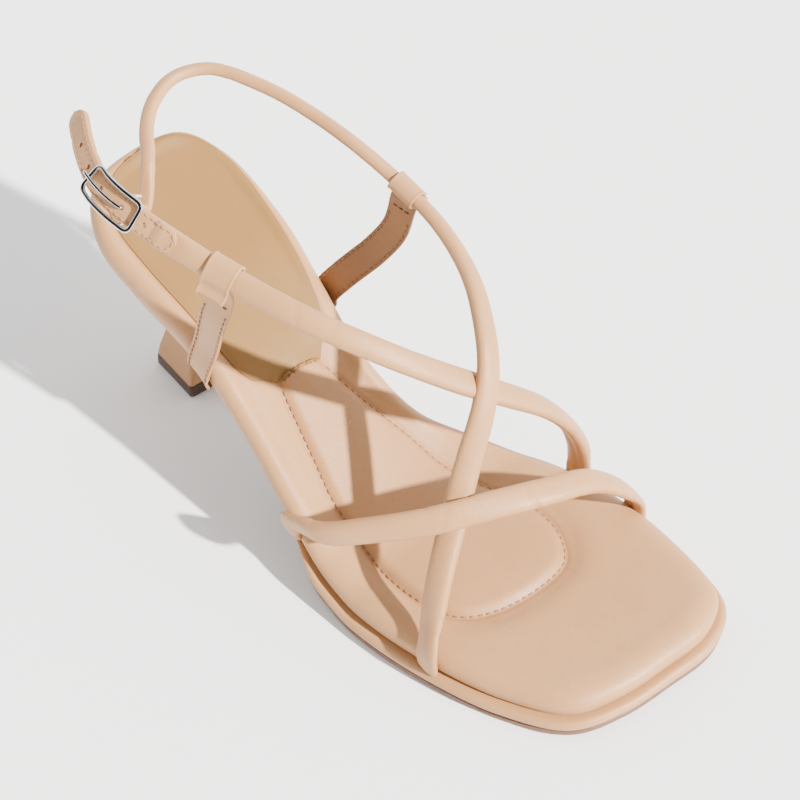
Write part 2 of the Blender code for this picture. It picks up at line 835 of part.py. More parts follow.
def wire(name, points, thickness, closed, collection, finish=None):
    """A round wire along straight and rounded stretches, made a mesh so that it can be cut or joined."""
    curve = bpy.data.curves.new(name, "CURVE")
    curve.dimensions = "3D"
    curve.bevel_depth = thickness / 2
    curve.bevel_resolution = 1
    curve.use_fill_caps = not closed
    line = curve.splines.new("POLY")
    line.points.add(len(points) - 1)
    for spot, place in zip(line.points, points):
        spot.co = (*place, 1.0)
    line.use_cyclic_u = closed
    guide = bpy.data.objects.new(name + "_guide", curve)
    collection.objects.link(guide)
    bpy.context.view_layer.update()
    graph = bpy.context.evaluated_depsgraph_get()
    mesh = bpy.data.meshes.new_from_object(guide.evaluated_get(graph))
    work = bmesh.new()
    work.from_mesh(mesh)
    bmesh.ops.remove_doubles(work, verts=work.verts, dist=1e-6)
    bmesh.ops.recalc_face_normals(work, faces=work.faces)
    work.to_mesh(mesh)
    work.free()
    mesh.shade_smooth()
    bpy.data.objects.remove(guide, do_unlink=True)
    return add_object(name, mesh, collection, finish)


def rounded(points, radius, closed, steps=3):
    """A polygon's corners, each turned into a short arc."""
    points = [np.array(spot) for spot in points]
    count = len(points)
    path = []
    for i, corner in enumerate(points):
        if not closed and i in (0, count - 1):
            path.append(corner)
            continue
        before = points[i - 1] - corner
        after = points[(i + 1) % count] - corner
        before /= np.linalg.norm(before)
        after /= np.linalg.norm(after)
        for t in np.linspace(0, 1, steps):
            path.append(corner + before * radius * (1 - t) ** 2 + after * radius * t**2)
    return path


def build_upper(paths, collection, cutters, finish):
    """Three straps joined where they cross, with the prong's hole and the link's eyelet."""
    ball_strap, ankle_strap, buckle_strap = paths
    upper = sweep("upper_straps", ankle_strap, ANKLE_GIRTHS, collection, finish)
    boolean(upper, sweep("ball_strap_form", ball_strap, BALL_GIRTHS, cutters), "UNION")
    boolean(upper, sweep("buckle_strap_form", buckle_strap, BUCKLE_GIRTHS, cutters), "UNION")
    spot, run, away, side = buckle_frame_at(buckle_strap, BAR_PLACE)
    hole = spot + run * prong_rise()
    radius = PRONG_WIRE / 2 + HOLE_CLEARANCE
    ends = [hole - away * FLAT_THICKNESS, hole + away * FLAT_THICKNESS]
    boolean(upper, wire("prong_hole", ends, 2 * radius, False, cutters), "DIFFERENCE")
    link = link_places(buckle_strap)
    through = link["out"] * EYELET_END_THICKNESS
    ends = [link["rear"] - through, link["rear"] + through]
    boolean(upper, wire("eyelet", ends, 2 * eyelet_radius(), False, cutters), "DIFFERENCE")
    return upper


def notch_for_feet(targets, paths, cutters):
    """Room in the sole layers for the strap ends."""
    ball_strap, ankle_strap, buckle_strap = paths
    ends = [
        ("ball_outer", ball_strap, BALL_GIRTHS, True),
        ("ball_inner", ball_strap, BALL_GIRTHS, False),
        ("ankle", ankle_strap, ANKLE_GIRTHS, True),
        ("buckle", buckle_strap, BUCKLE_GIRTHS, True),
    ]
    for name, path, girths, from_start in ends:
        shares = path_shares(path) * strap_length(path)
        if from_start:
            keep = np.nonzero(shares < NOTCH_REACH)[0]
        else:
            keep = np.nonzero(shares > shares[-1] - NOTCH_REACH)[0]
        cutter = sweep(f"{name}_notch", path, girths, cutters, grow=NOTCH_CLEARANCE, keep=keep)
        for target in targets:
            boolean(target, cutter, "DIFFERENCE")


def buckle_frame_at(buckle_strap, place):
    """Local frame of the buckle strap at a share of the buckle's length."""
    share = share_at(buckle_strap, BUCKLE_ALONG) + (place - 0.5) * BUCKLE_LENGTH / strap_length(buckle_strap)
    return local_frame(buckle_strap, share)


def frame_lift():
    return FLAT_THICKNESS / 2 + GAP + BUCKLE_WIRE / 2


def frame_half_width():
    return FLAT_WIDTH / 2 + GAP + BUCKLE_WIRE / 2


def prong_rise():
    """How far behind the cross bar the prong comes up through the strap."""
    return BUCKLE_WIRE / 2 + GAP + PRONG_WIRE / 2


def build_buckle(buckle_strap, collection, cutters, finish):
    """A wire frame that follows the strap, and a cross bar that passes inside it."""
    half = frame_half_width()
    sides = {}
    for sign in (1, -1):
        rows = []
        for place in np.linspace(0, 1, 5):
            spot, run, away, side = buckle_frame_at(buckle_strap, place)
            rows.append(spot + away * frame_lift() + side * half * sign)
        sides[sign] = rows
    corners = [sides[1][0], sides[1][-1], sides[-1][-1], sides[-1][0]]
    ring = []
    bends = rounded(corners, BUCKLE_CORNER, True)
    steps = len(bends) // 4
    ring += bends[:steps] + sides[1][1:-1] + bends[steps : 3 * steps] + sides[-1][-2:0:-1] + bends[3 * steps :]
    frame = wire("buckle_frame", ring, BUCKLE_WIRE, True, collection, finish)
    spot, run, away, side = buckle_frame_at(buckle_strap, BAR_PLACE)
    stops = [(half, frame_lift()), (half, -bar_drop()), (-half, -bar_drop()), (-half, frame_lift())]
    bar = rounded([spot + side * a + away * b for a, b in stops], BUCKLE_WIRE, False)
    boolean(frame, wire("cross_bar", bar, CROSS_BAR_WIRE, False, cutters), "UNION")
    return frame


def build_prong(buckle_strap, collection, finish):
    """An eye round the cross bar, then a pin up through the hole and out over the frame's far end."""
    spot, run, away, side = buckle_frame_at(buckle_strap, BAR_PLACE)
    eye = prong_rise()
    bar = spot - away * bar_drop()
    path = []
    for angle in np.radians(np.arange(75, 361, 35)):
        path.append(bar + run * eye * math.cos(angle) + away * eye * math.sin(angle))
    path.append(bar + run * eye)
    above = FLAT_THICKNESS / 2 + GAP + PRONG_WIRE / 2
    path.append(spot + run * eye + away * FLAT_THICKNESS / 2)
    start = BAR_PLACE + (eye + PRONG_BEND) / BUCKLE_LENGTH
    over_end = frame_lift() + BUCKLE_WIRE / 2 + GAP + PRONG_WIRE / 2
    for share in (0.0, 0.35, 0.7, 1.0):
        place = start + (1.0 - start) * share
        at, along, out, across = buckle_frame_at(buckle_strap, place)
        path.append(at + out * (above + (over_end - above) * share))
    at, along, out, across = buckle_frame_at(buckle_strap, 1.0)
    path.append(at + along * PRONG_TIP + out * over_end)
    return wire("buckle_prong", path, PRONG_WIRE, False, collection, finish)


def build_link(buckle_strap, collection, finish):
    """A long ring that ties the ankle strap's eyelet to the cross bar."""
    link = link_places(buckle_strap)
    half = link["out"] * (EYELET_END_THICKNESS / 2 + LINK_SLACK + LINK_WIRE / 2)
    corners = [link["front"] + half, link["rear"] + half, link["rear"] - half, link["front"] - half]
    return wire("buckle_link", rounded(corners, LINK_CORNER, True), LINK_WIRE, True, collection, finish)


def loop_path(strap, girths, place, side):
    """Middle line of a folded band with its width directions: out from under the pad's edge, up, round the strap."""
    share = share_at(strap, place.top)
    spot, run, away, across = local_frame(strap, share)
    up = across if across[2] > 0 else -across
    half_width = smooth(girths, "width", share) / 2 + LOOP_CLEARANCE + LOOP_PLY / 2
    half_thick = smooth(girths, "thickness", share) / 2 + LOOP_CLEARANCE + LOOP_PLY / 2
    edge, out = edge_at(side, place.foot)
    belly = PAD_BELLY * pad_thickness(edge[0])
    off = LOOP_STAND + LOOP_PLY / 2
    path = []
    for angle in np.radians([-60, -30, 0]):
        c, s = math.cos(angle), math.sin(angle)
        outset = -PAD_LOWER_ROUND * (1 - c) + off * c
        path.append(on_edge(side, place.foot, outset, belly * (1 + s) + off * s))
    edge_run = np.array([-out[1], out[0], 0.0])
    edge_run *= np.sign(edge_run[0])
    edge_run[2] = (feather(edge[0] + SLOPE_STEP) - feather(edge[0] - SLOPE_STEP)) / (2 * SLOPE_STEP)
    edge_run /= np.linalg.norm(edge_run)
    strap_run = run if run[0] > 0 else -run
    turn = [edge_run] * len(path)
    for part in np.linspace(0, 1, len(place.leg) + 1)[1:]:
        turn.append(edge_run * (1 - part) + strap_run * part)
    path += [point(spot_on_leg) for spot_on_leg in place.leg]
    for c, s in zip(*fat_oval(np.radians([228, 205, 180, 150, 120, 90, 60, 30, 0, -28, -46]))):
        path.append(spot + up * half_width * s + away * half_thick * c)
    for drop in (LOOP_TAB_START, LOOP_TAB):
        path.append(spot - up * (half_width + drop) + away * (LOOP_PLY / 2 + GAP))
    turn += [strap_run] * (len(path) - len(turn))
    return np.array(path), np.array(turn)


def build_loop(name, strap, girths, place, side, collection, finish):
    path, turn = loop_path(strap, girths, place, side)
    steps = [2, 2] + [3] * len(place.leg) + [1] * (len(path) - len(place.leg) - 3)
    spots = spline(path, False, steps)
    widths = spline(turn, False, steps, knots(path, False))
    run = np.gradient(spots, axis=0)
    run /= np.linalg.norm(run, axis=1)[:, None]
    widths -= run * np.sum(widths * run, axis=1)[:, None]
    widths /= np.linalg.norm(widths, axis=1)[:, None]
    normal = np.cross(run, widths)
    bevel = LOOP_PLY * 0.3
    half_w, half_t = LOOP_WIDTH / 2, LOOP_PLY / 2
    section = [
        (half_w, half_t - bevel),
        (half_w - bevel, half_t),
        (bevel - half_w, half_t),
        (-half_w, half_t - bevel),
        (-half_w, bevel - half_t),
        (bevel - half_w, -half_t),
        (half_w - bevel, -half_t),
        (half_w, bevel - half_t),
    ]
    loops = []
    for i in range(len(spots)):
        loops.append([spots[i] + widths[i] * a + normal[i] * b for a, b in section])
    return loft(name, loops, collection, finish)


def main():
    clear_scene()
    shoe = make_collection("strappy heeled sandal", False)
    cutters = make_collection("cutters", True)
    leather = material("nude leather", SKIN, 0.45)
    sole_edge = material("sole edge", SOLE_EDGE, 0.6)
    sock_leather = material("sock leather", SOCK_TAN, 0.6)
    top_rubber = material("top piece rubber", TOP_BROWN, 0.7)
    silver = material("polished metal", SILVER, 0.15, 1.0)

    build_outsole(shoe, sole_edge)
    platform = build_platform(shoe, leather)
    footbed = build_footbed(shoe, leather)
    build_sock(shoe, sock_leather)
    build_heel(shoe, leather)
    build_top_piece(shoe, top_rubber)

    paths = strap_paths()
    ball_strap, ankle_strap, buckle_strap = paths
    build_upper(paths, shoe, cutters, leather)
    notch_for_feet([footbed, platform], paths, cutters)
    build_loop("inner_loop", ankle_strap, ANKLE_GIRTHS, INNER_LOOP, INNER, shoe, leather)
    build_loop("outer_loop", buckle_strap, BUCKLE_GIRTHS, OUTER_LOOP, OUTER, shoe, leather)
    build_buckle(buckle_strap, shoe, cutters, silver)
    build_prong(buckle_strap, shoe, silver)
    build_link(buckle_strap, shoe, silver)


main()
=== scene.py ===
"""Strappy heeled sandal for the right foot: its soft, stitched and polished pieces, over the CAD model.

+X points to the toe, +Y to the inner (medial) side and +Z up, in metres. The origin lies on the floor, under
the middle of the shoe. Tables give places as shares: along is a share of PAD_LENGTH from the heel's rear,
across a share of PAD_WIDTH from the middle line (minus is the outer side), height a share of ANKLE_HEIGHT.
"""

import math

import bmesh
import bpy
import numpy as np
from bpy.props import FloatProperty, FloatVectorProperty, PointerProperty
from mathutils import Matrix, Vector


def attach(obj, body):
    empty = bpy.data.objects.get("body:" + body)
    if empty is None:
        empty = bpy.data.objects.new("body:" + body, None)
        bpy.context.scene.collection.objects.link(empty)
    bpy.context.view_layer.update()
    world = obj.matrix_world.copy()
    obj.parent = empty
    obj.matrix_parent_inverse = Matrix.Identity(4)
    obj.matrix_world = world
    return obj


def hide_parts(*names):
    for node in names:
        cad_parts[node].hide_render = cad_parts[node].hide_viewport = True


bl_info = {
    "name": "Strappy Heeled Sandal",
    "version": (1, 0, 0),
    "blender": (4, 5, 0),
    "location": "View3D > Sidebar > Sandal",
    "description": "Dresses the sandal's CAD model in padded leather, stitching and a wire buckle",
    "category": "Object",
}

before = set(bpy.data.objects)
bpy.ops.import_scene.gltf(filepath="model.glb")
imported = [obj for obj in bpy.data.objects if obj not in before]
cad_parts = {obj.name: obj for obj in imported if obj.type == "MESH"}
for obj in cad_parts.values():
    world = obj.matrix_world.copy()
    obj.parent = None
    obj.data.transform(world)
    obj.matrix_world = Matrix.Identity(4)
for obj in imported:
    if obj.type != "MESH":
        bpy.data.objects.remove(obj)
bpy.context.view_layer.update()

# Overall sizes
PAD_LENGTH = 0.2261
PAD_WIDTH = 0.087
ANKLE_HEIGHT = 0.120
SEAT_LEVEL = 0.0760
GAP = 0.0003

# Sole layers
OUTSOLE_THICKNESS = 0.0022
OUTSOLE_INSET = 0.0006
OUTSOLE_START = 0.205
PLATFORM_THICKNESS = 0.0041
BOARD_THICKNESS = 0.0012
RAND_REACH = 0.0029
BOARD_INSET = 0.0020
PAD_THICKNESS = 0.0105
FOREFOOT_PAD_THICKNESS = 0.0084
PAD_BELLY = 0.45
PAD_UPPER_ROUND = 0.0050
PAD_LOWER_ROUND = 0.0025
TOE_UPPER_ROUND = 0.0095
TOE_LOWER_ROUND = 0.0011
PAD_DISH = 0.0013
DISH_START = 0.0032
DISH_INSET = 0.0065
DISH_SPREAD = 1.6
SOCK_THICKNESS = 0.0008
SOCK_RISE = 0.0002
SOCK_TURN = 0.00035
SOCK_TURN_REACH = 0.0012
SOCK_RIM_REACH = 0.0014
SOCK_SHADE = 0.0009
CROWN_HEIGHT = 0.0011
CROWN_REACH = 0.0075
GROOVE_DEPTH = 0.0005
GROOVE_REACH = 0.0008
INNER_SEAM_REACH = 0.4
SEAM_SHADE = 0.75
OVAL_SHADE = 0.22
OVAL_STITCH_OFFSET = 0.0006
OVAL_STITCH_END = 0.002

# Heel
HEEL_LENGTH = 0.0213
HEEL_WIDTH = 0.0243
HEEL_ALONG = 0.112
HEEL_ACROSS = 0.010
HEEL_TURN = math.radians(-9.5)
HEEL_CORNER = 0.12
LIFT_THICKNESS = 0.0050
LIFT_TAPER = 0.97

# Straps
STRAP_WIDTH = 0.0088
STRAP_THICKNESS = 0.0048
FOOT_THICKNESS = 0.0032
FOOT_OUTSET = 0.0003
FOOT_LIFT = 0.0005
BALL_START_LIFT = 0.0020
CORD_WIDTH = 0.0054
CORD_THICKNESS = 0.0042
CORD_TIP_WIDTH = 0.0045
CORD_TIP_THICKNESS = 0.0037
SLIM_WIDTH = 0.0076
FLAT_WIDTH = 0.0078
FLAT_THICKNESS = 0.0024
EYELET_END_WIDTH = 0.0050
EYELET_END_THICKNESS = 0.0026
CROSSING_JOIN = 0.0009
CROSSING_REACH = 0.018
STRAP_STEP = 0.0042
OVAL_POWER = 0.82
FOLD_WIDTH = 0.00075
FOLD_LEAN = 0.0022
SEAM_HALF_ANGLE = 0.13

# Loops
LOOP_WIDTH = 0.0098
LOOP_PLY = 0.0014
LOOP_CLEARANCE = 0.0001
LOOP_STAND = 0.0006
LOOP_TAB = 0.0038
LOOP_TAB_START = 0.0008
LOOP_PITCH = 0.0023
SLOPE_STEP = 0.002

# Buckle
BUCKLE_LENGTH = 0.0200
BUCKLE_WIRE = 0.0015
BUCKLE_CORNER = 0.0024
BAR_PLACE = 0.22
CROSS_BAR_WIRE = 0.00147
PRONG_WIRE = 0.0011
PRONG_BEND = 0.0012
PRONG_TIP = 0.0012
LINK_WIRE = 0.0010
LINK_LENGTH = 0.0085
LINK_CORNER = 0.0016
LINK_TILT = math.radians(80)
LINK_SLACK = 0.0009
HOLE_CLEARANCE = 0.0006
EYELET_EDGE = 0.0009
HOLE_RADIUS = 0.00085
HOLE_OFFSETS = (-0.0130, 0.0050, 0.0140, 0.0230)

# Camera and light
CAMERA_PLACE = (0.35905, -0.34936, 0.65097)
CAMERA_YAW = 2.3036
CAMERA_PITCH = 0.819
CAMERA_ROLL = -0.0041
PHOTO_FOCAL = 1763.5
PHOTO_MIDDLE = 400
AIM_PIXEL = (334, 499)
ZOOM = 1.44
SENSOR = 36.0
DARK_WALL = (0.40, -0.56, 0.73)
# Colour of the painted reflection of the dark wall on the metal.
PAINTED_DARK_REFLECTION = (0.03, 0.03, 0.035, 1.0)
SUN_ENERGY = 15.0
SUN_ANGLE = math.radians(2.0)
SUN_COLOUR = (1.0, 0.985, 0.965)
SUN_AZIMUTH = math.radians(9)
SUN_HEIGHT = math.radians(36)
SKY_COLOUR = (0.97, 0.98, 1.0, 1.0)
SKY_BRIGHT = 2.15
SKY_DIM = 0.5
FLOOR_REACH = 3

# Sampling
SPAN_STEPS = 24
SOLE_ROWS = 340
TOP_COLUMNS = 170
STRAP_SIDES = 40
FINE_STEPS = 5
WIRE_SIDES = 14
CORNER_STEPS = 9
SOCK_ROWS = 150
NORMAL_STEP = 0.0004

# The padded footbed's plan outline (along, across): heel's rear, outer side, toe, inner side.
EDGE = np.array(
    [
        (0.0, 0.0), (0.012, -0.19), (0.07, -0.312), (0.15, -0.34), (0.27, -0.345), (0.37, -0.38),
        (0.46, -0.43), (0.55, -0.48), (0.65, -0.50), (0.76, -0.475), (0.86, -0.415), (0.945, -0.31),
        (0.977, -0.15), (0.993, 0.055), (1.0, 0.24), (0.975, 0.385), (0.885, 0.47), (0.77, 0.50),
        (0.655, 0.46), (0.555, 0.35), (0.475, 0.215), (0.39, 0.187), (0.30, 0.231), (0.195, 0.298),
        (0.085, 0.313), (0.02, 0.235),
    ]
)

# Height of the footbed's underside (along, rise), from the ball's level (0) to the heel seat's (1).
PROFILE = np.array(
    [
        (0.0, 1.0), (0.08, 0.9), (0.16, 0.795), (0.24, 0.69), (0.31, 0.565), (0.38, 0.405), (0.45, 0.245),
        (0.51, 0.125), (0.56, 0.045), (0.62, 0.0), (0.84, 0.0), (0.93, 0.015), (1.0, 0.04),
    ]
)

# How far the sole has changed from its waist form (0) to its forefoot form (1), by share along.
FOREFOOT = np.array([(0.0, 0.0), (0.42, 0.0), (0.47, 0.3), (0.55, 1.0), (1.0, 1.0)])

# Heel block (height, size, shift, roundness), from the top piece (0) to the seat (1).
HEEL_ROWS = np.array(
    [
        (0.0, 0.97, 0.0, 0.0), (0.07, 0.89, 0.0, 0.0), (0.16, 0.75, -0.01, 0.0), (0.27, 0.605, -0.02, 0.0),
        (0.38, 0.51, -0.04, 0.02), (0.50, 0.455, -0.06, 0.05), (0.62, 0.46, -0.08, 0.10),
        (0.73, 0.53, -0.10, 0.16), (0.83, 0.71, -0.12, 0.25), (0.92, 1.05, -0.15, 0.40),
        (1.0, 1.50, -0.18, 0.55),
    ]
)

# Edges of the outsole (inset, height) and rings of the heel's top piece (size, height), from the bottom.
OUTSOLE_EDGE = np.array(
    [
        (0.0009, 0.0), (0.0004, 0.00012), (0.0001, 0.0004), (0.0, 0.0008), (0.0, 0.8 * OUTSOLE_THICKNESS),
        (0.0003, OUTSOLE_THICKNESS),
    ]
)
LIFT_ROWS = np.array(
    [
        (0.95, 0.0), (0.985, 0.0003), (1.0, 0.0008), (0.985, 0.0042), (LIFT_TAPER, 0.0048),
        (0.945, LIFT_THICKNESS),
    ]
)

# The middle of the foot that the straps close round (along, across, height).
CORE = np.array(
    [(0.78, 0.01, 0.15), (0.60, 0.01, 0.33), (0.43, 0.01, 0.50), (0.27, 0.01, 0.62), (0.15, 0.01, 0.70)]
)

# Ball strap (along, across, height), from the outer side over the toes to the inner side.
BALL_FEET = (0.485, 0.790)
BALL_ROUTE = np.array(
    [
        (0.487, -0.467, 0.204), (0.495, -0.48, 0.24), (0.515, -0.478, 0.263), (0.56, -0.468, 0.295),
        (0.617, -0.385, 0.346), (0.675, -0.255, 0.385), (0.722, -0.085, 0.405), (0.757, 0.09, 0.395),
        (0.777, 0.272, 0.348), (0.788, 0.415, 0.24),
    ]
)

# Ankle strap: outer toe side, over the instep, through the inner loop, round the heel to the link.
ANKLE_FOOT = 0.747
ANKLE_ROUTE = np.array(
    [
        (0.734, -0.42, 0.183), (0.716, -0.322, 0.279), (0.696, -0.207, 0.354), (0.674, -0.07, 0.454),
        (0.65, 0.07, 0.567), (0.61, 0.207, 0.668), (0.55, 0.333, 0.733), (0.47, 0.414, 0.775),
        (0.384, 0.437, 0.822), (0.308, 0.41, 0.888), (0.232, 0.385, 0.925), (0.165, 0.345, 0.952),
        (0.092, 0.257, 0.977), (0.068, 0.137, 0.978), (0.08, 0.003, 0.968), (0.103, -0.083, 0.95),
        (0.141, -0.171, 0.938),
    ]
)

# Buckle strap: inner side, under the ankle strap, through the outer loop and the buckle, to its free end.
BUCKLE_FOOT = 0.693
BUCKLE_ROUTE = np.array(
    [
        (0.694, 0.483, 0.158), (0.697, 0.462, 0.25), (0.694, 0.405, 0.363), (0.68, 0.316, 0.467),
        (0.652, 0.19, 0.557), (0.612, 0.04, 0.655), (0.552, -0.126, 0.767), (0.457, -0.247, 0.833),
        (0.351, -0.31, 0.865), (0.28, -0.348, 0.896), (0.21, -0.383, 0.933), (0.143, -0.383, 0.957),
        (0.086, -0.322, 0.969), (0.022, -0.212, 0.981),
    ]
)
BUCKLE_ALONG = 0.166

# Strap sections (share of length, width, thickness, power of the oval: lower is squarer).
BALL_GIRTHS = np.array(
    [
        (0.0, STRAP_WIDTH, FOOT_THICKNESS, 1.0),
        (0.05, STRAP_WIDTH, FOOT_THICKNESS, 1.0),
        (0.14, STRAP_WIDTH, STRAP_THICKNESS, OVAL_POWER),
        (0.84, STRAP_WIDTH, STRAP_THICKNESS, OVAL_POWER),
        (0.93, STRAP_WIDTH, FOOT_THICKNESS, OVAL_POWER),
        (1.0, STRAP_WIDTH, FOOT_THICKNESS, OVAL_POWER),
    ]
)
ANKLE_GIRTHS = np.array(
    [
        (0.0, STRAP_WIDTH, FOOT_THICKNESS, OVAL_POWER),
        (0.03, STRAP_WIDTH, FOOT_THICKNESS, OVAL_POWER),
        (0.08, STRAP_WIDTH, STRAP_THICKNESS, OVAL_POWER),
        (0.30, SLIM_WIDTH, STRAP_THICKNESS, OVAL_POWER),
        (0.40, SLIM_WIDTH * 0.92, STRAP_THICKNESS, OVAL_POWER),
        (0.47, CORD_WIDTH * 1.15, CORD_THICKNESS * 1.08, OVAL_POWER),
        (0.53, CORD_WIDTH * 1.04, CORD_THICKNESS * 1.03, OVAL_POWER),
        (0.60, CORD_WIDTH, CORD_THICKNESS, OVAL_POWER),
        (0.93, CORD_TIP_WIDTH, CORD_TIP_THICKNESS, OVAL_POWER),
        (0.965, EYELET_END_WIDTH, EYELET_END_THICKNESS, 0.6),
        (1.0, EYELET_END_WIDTH, EYELET_END_THICKNESS, 0.5),
    ]
)
BUCKLE_GIRTHS = np.array(
    [
        (0.0, STRAP_WIDTH, FOOT_THICKNESS, OVAL_POWER),
        (0.04, STRAP_WIDTH, FOOT_THICKNESS, OVAL_POWER),
        (0.10, STRAP_WIDTH, STRAP_THICKNESS, OVAL_POWER),
        (0.30, STRAP_WIDTH, STRAP_THICKNESS, OVAL_POWER),
        (0.45, SLIM_WIDTH, STRAP_THICKNESS, OVAL_POWER),
        (0.725, SLIM_WIDTH, STRAP_THICKNESS, OVAL_POWER),
        (0.765, FLAT_WIDTH, FLAT_THICKNESS, 0.40),
        (1.0, FLAT_WIDTH, FLAT_THICKNESS, 0.34),
    ]
)
LAP_START = 0.748
LAP_FADE = 0.022
LAP_THICKNESS = 0.0011
LAP_SINK = 0.0004
SEAM_INSET = 0.0011
STITCH_END = 0.0035
STITCH_SINK = 0.00005
STRAP_PITCH = 0.0022

# Loops: where each leaves the sole and holds its strap, along the shoe, and the way of its leg between them.
INNER_LOOP = {
    "foot": 0.297,
    "top": 0.393,
    "leg": np.array(
        [
            (0.3188, 0.287, 0.489), (0.3384, 0.322, 0.5425), (0.3547, 0.356, 0.587), (0.3795, 0.402, 0.677),
            (0.388, 0.425, 0.763),
        ]
    ),
}
OUTER_LOOP = {
    "foot": 0.28,
    "top": 0.338,
    "leg": np.array([(0.2994, -0.347, 0.572), (0.3131, -0.336, 0.676), (0.3273, -0.323, 0.766)]),
}

# Stitched oval of the forefoot and the heel sock's outline (along, across).
PANEL = np.array(
    [
        (0.356, -0.161), (0.374, -0.180), (0.4135, -0.213), (0.453, -0.246), (0.4975, -0.284),
        (0.568, -0.316), (0.605, -0.333), (0.650, -0.343), (0.698, -0.334), (0.740, -0.294), (0.772, -0.180),
        (0.7895, 0.011), (0.785, 0.138), (0.754, 0.213), (0.719, 0.245), (0.675, 0.250),
        (0.610, 0.202), (0.555, 0.155),
        (0.493, 0.122), (0.453, 0.090), (0.409, 0.056), (0.365, 0.030),
    ]
)
SOCK_OUTER = np.array(
    [
        (0.0185, 0.011), (0.022, -0.078), (0.0345, -0.157), (0.0605, -0.217), (0.095, -0.246),
        (0.1526, -0.260), (0.2234, -0.267), (0.2853, -0.270), (0.325, -0.263),
        (0.3415, -0.241), (0.3472, -0.201),
        (0.356, -0.161),
    ]
)
SOCK_INNER = np.array(
    [
        (0.0185, 0.011), (0.0185, 0.10), (0.0265, 0.185), (0.052, 0.250), (0.095, 0.280), (0.135, 0.281),
        (0.17, 0.266), (0.2366, 0.226), (0.2942, 0.178), (0.338, 0.120), (0.365, 0.030),
    ]
)


def colour_property(name, description, default):
    return FloatVectorProperty(
        name=name, description=description, default=default, subtype="COLOR", min=0, max=1
    )


def length_property(name, description, default):
    return FloatProperty(
        name=name,
        description=description,
        default=default,
        min=0,
        unit="LENGTH",
        subtype="DISTANCE",
        precision=5,
    )


class SandalSizes(bpy.types.PropertyGroup):
    """Sizes of the details that lie on the CAD shapes."""

    stitch_pitch: length_property("Stitch pitch", "Length from one stitch to the next", 0.0026)
    stitch_length: length_property("Stitch length", "Visible length of one stitch", 0.0019)
    thread: length_property("Thread", "Thickness of the sewing thread", 0.00056)
    seam_depth: length_property("Seam depth", "How deep the stitched oval is drawn into the padding", 0.0018)
    seam_reach: length_property("Seam reach", "How far from the oval's seam the padding falls", 0.0050)
    crease_depth: length_property("Crease depth", "Depth of the folds across the straps", 0.00022)
    strap_seam: length_property("Strap seam", "Depth of the closing seam along a strap's inner side", 0.0004)
    grain: length_property("Leather grain", "Size of one cell of the leather's grain", 0.0006)
    ply_edge: length_property("Raised edge", "How far the edges of a loop stand above its face", 0.00022)


class SandalColours(bpy.types.PropertyGroup):
    """Colours of the sandal's finishes and of the floor."""

    leather: colour_property("Leather", "Upper, footbed and heel cover", (0.435, 0.222, 0.092))
    # leather_deep is also the colour of the painted shade in folds, seams and along the sock's edge.
    leather_deep: colour_property("Leather, deep", "Folds and blotches of the leather", (0.35, 0.162, 0.06))
    foot_face: colour_property("Foot face", "Inner face of the loops", (0.30, 0.145, 0.062))
    sock: colour_property("Sock", "Heel sock", (0.225, 0.11, 0.024))
    thread: colour_property("Thread", "Sewing thread of the buckle strap", (0.42, 0.205, 0.095))
    tan_thread: colour_property("Tan thread", "Sewing thread of the oval and the loops", (0.27, 0.115, 0.045))
    sole: colour_property("Sole", "Outsole and its edge", (0.12, 0.055, 0.028))
    rubber: colour_property("Top piece", "Rubber under the heel", (0.045, 0.02, 0.01))
    metal: colour_property("Metal", "Buckle, prong and link", (0.78, 0.77, 0.75))
    floor: colour_property("Floor", "Studio floor", (0.93, 0.925, 0.91))


def sizes():
    return bpy.context.scene.sandal_sizes


def colours():
    return bpy.context.scene.sandal_colours


def ramp(t):
    """0 up to t = 0, 1 from t = 1, and a smooth S between them."""
    t = np.clip(t, 0, 1)
    return t * t * (3 - 2 * t)


def through(rows, column, at):
    """Monotone cubic through one column of a table whose first column is the place."""
    x, y = rows[:, 0], rows[:, column]
    step = np.diff(x)
    slope = np.diff(y) / step
    same = slope[:-1] * slope[1:] > 0
    before, after = 2 * step[1:] + step[:-1], step[1:] + 2 * step[:-1]
    safe = np.where(same, slope[:-1], 1.0), np.where(same, slope[1:], 1.0)
    middle = np.where(same, (before + after) / (before / safe[0] + after / safe[1]), 0.0)
    bend = np.concatenate([slope[:1], middle, slope[-1:]])
    at = np.clip(np.asarray(at, float), x[0], x[-1])
    i = np.clip(np.searchsorted(x, at, side="right") - 1, 0, len(x) - 2)
    t = (at - x[i]) / step[i]
    rise = y[i] * (1 + 2 * t) * (1 - t) ** 2 + y[i + 1] * t * t * (3 - 2 * t)
    return rise + step[i] * (bend[i] * t * (1 - t) ** 2 - bend[i + 1] * t * t * (1 - t))


def along_to_x(along):
    return np.asarray(along) * PAD_LENGTH - (PAD_LENGTH + RAND_REACH) / 2


def x_to_along(x):
    return (np.asarray(x) + (PAD_LENGTH + RAND_REACH) / 2) / PAD_LENGTH


def in_plan(spots):
    return np.stack([along_to_x(spots[:, 0]), spots[:, 1] * PAD_WIDTH], axis=1)


def in_space(places):
    return np.concatenate([in_plan(places), places[:, 2:] * ANKLE_HEIGHT], axis=1)


def forefoot(x):
    return through(FOREFOOT, 1, x_to_along(x))


def platform_thickness(x):
    return BOARD_THICKNESS + (PLATFORM_THICKNESS - BOARD_THICKNESS) * forefoot(x)


def feather(x):
    """Height of the footbed's underside."""
    ball = OUTSOLE_THICKNESS + GAP + PLATFORM_THICKNESS + GAP
    return ball + (SEAT_LEVEL - ball) * through(PROFILE, 1, x_to_along(x))


def pad_thickness(x):
    return PAD_THICKNESS + (FOREFOOT_PAD_THICKNESS - PAD_THICKNESS) * forefoot(x)


def knots(points, closed):
    """Centripetal spacing: the square root of each chord."""
    ends = np.roll(points, -1, axis=0) if closed else points[1:]
    return np.sqrt(np.linalg.norm(ends - points[: len(ends)], axis=1))


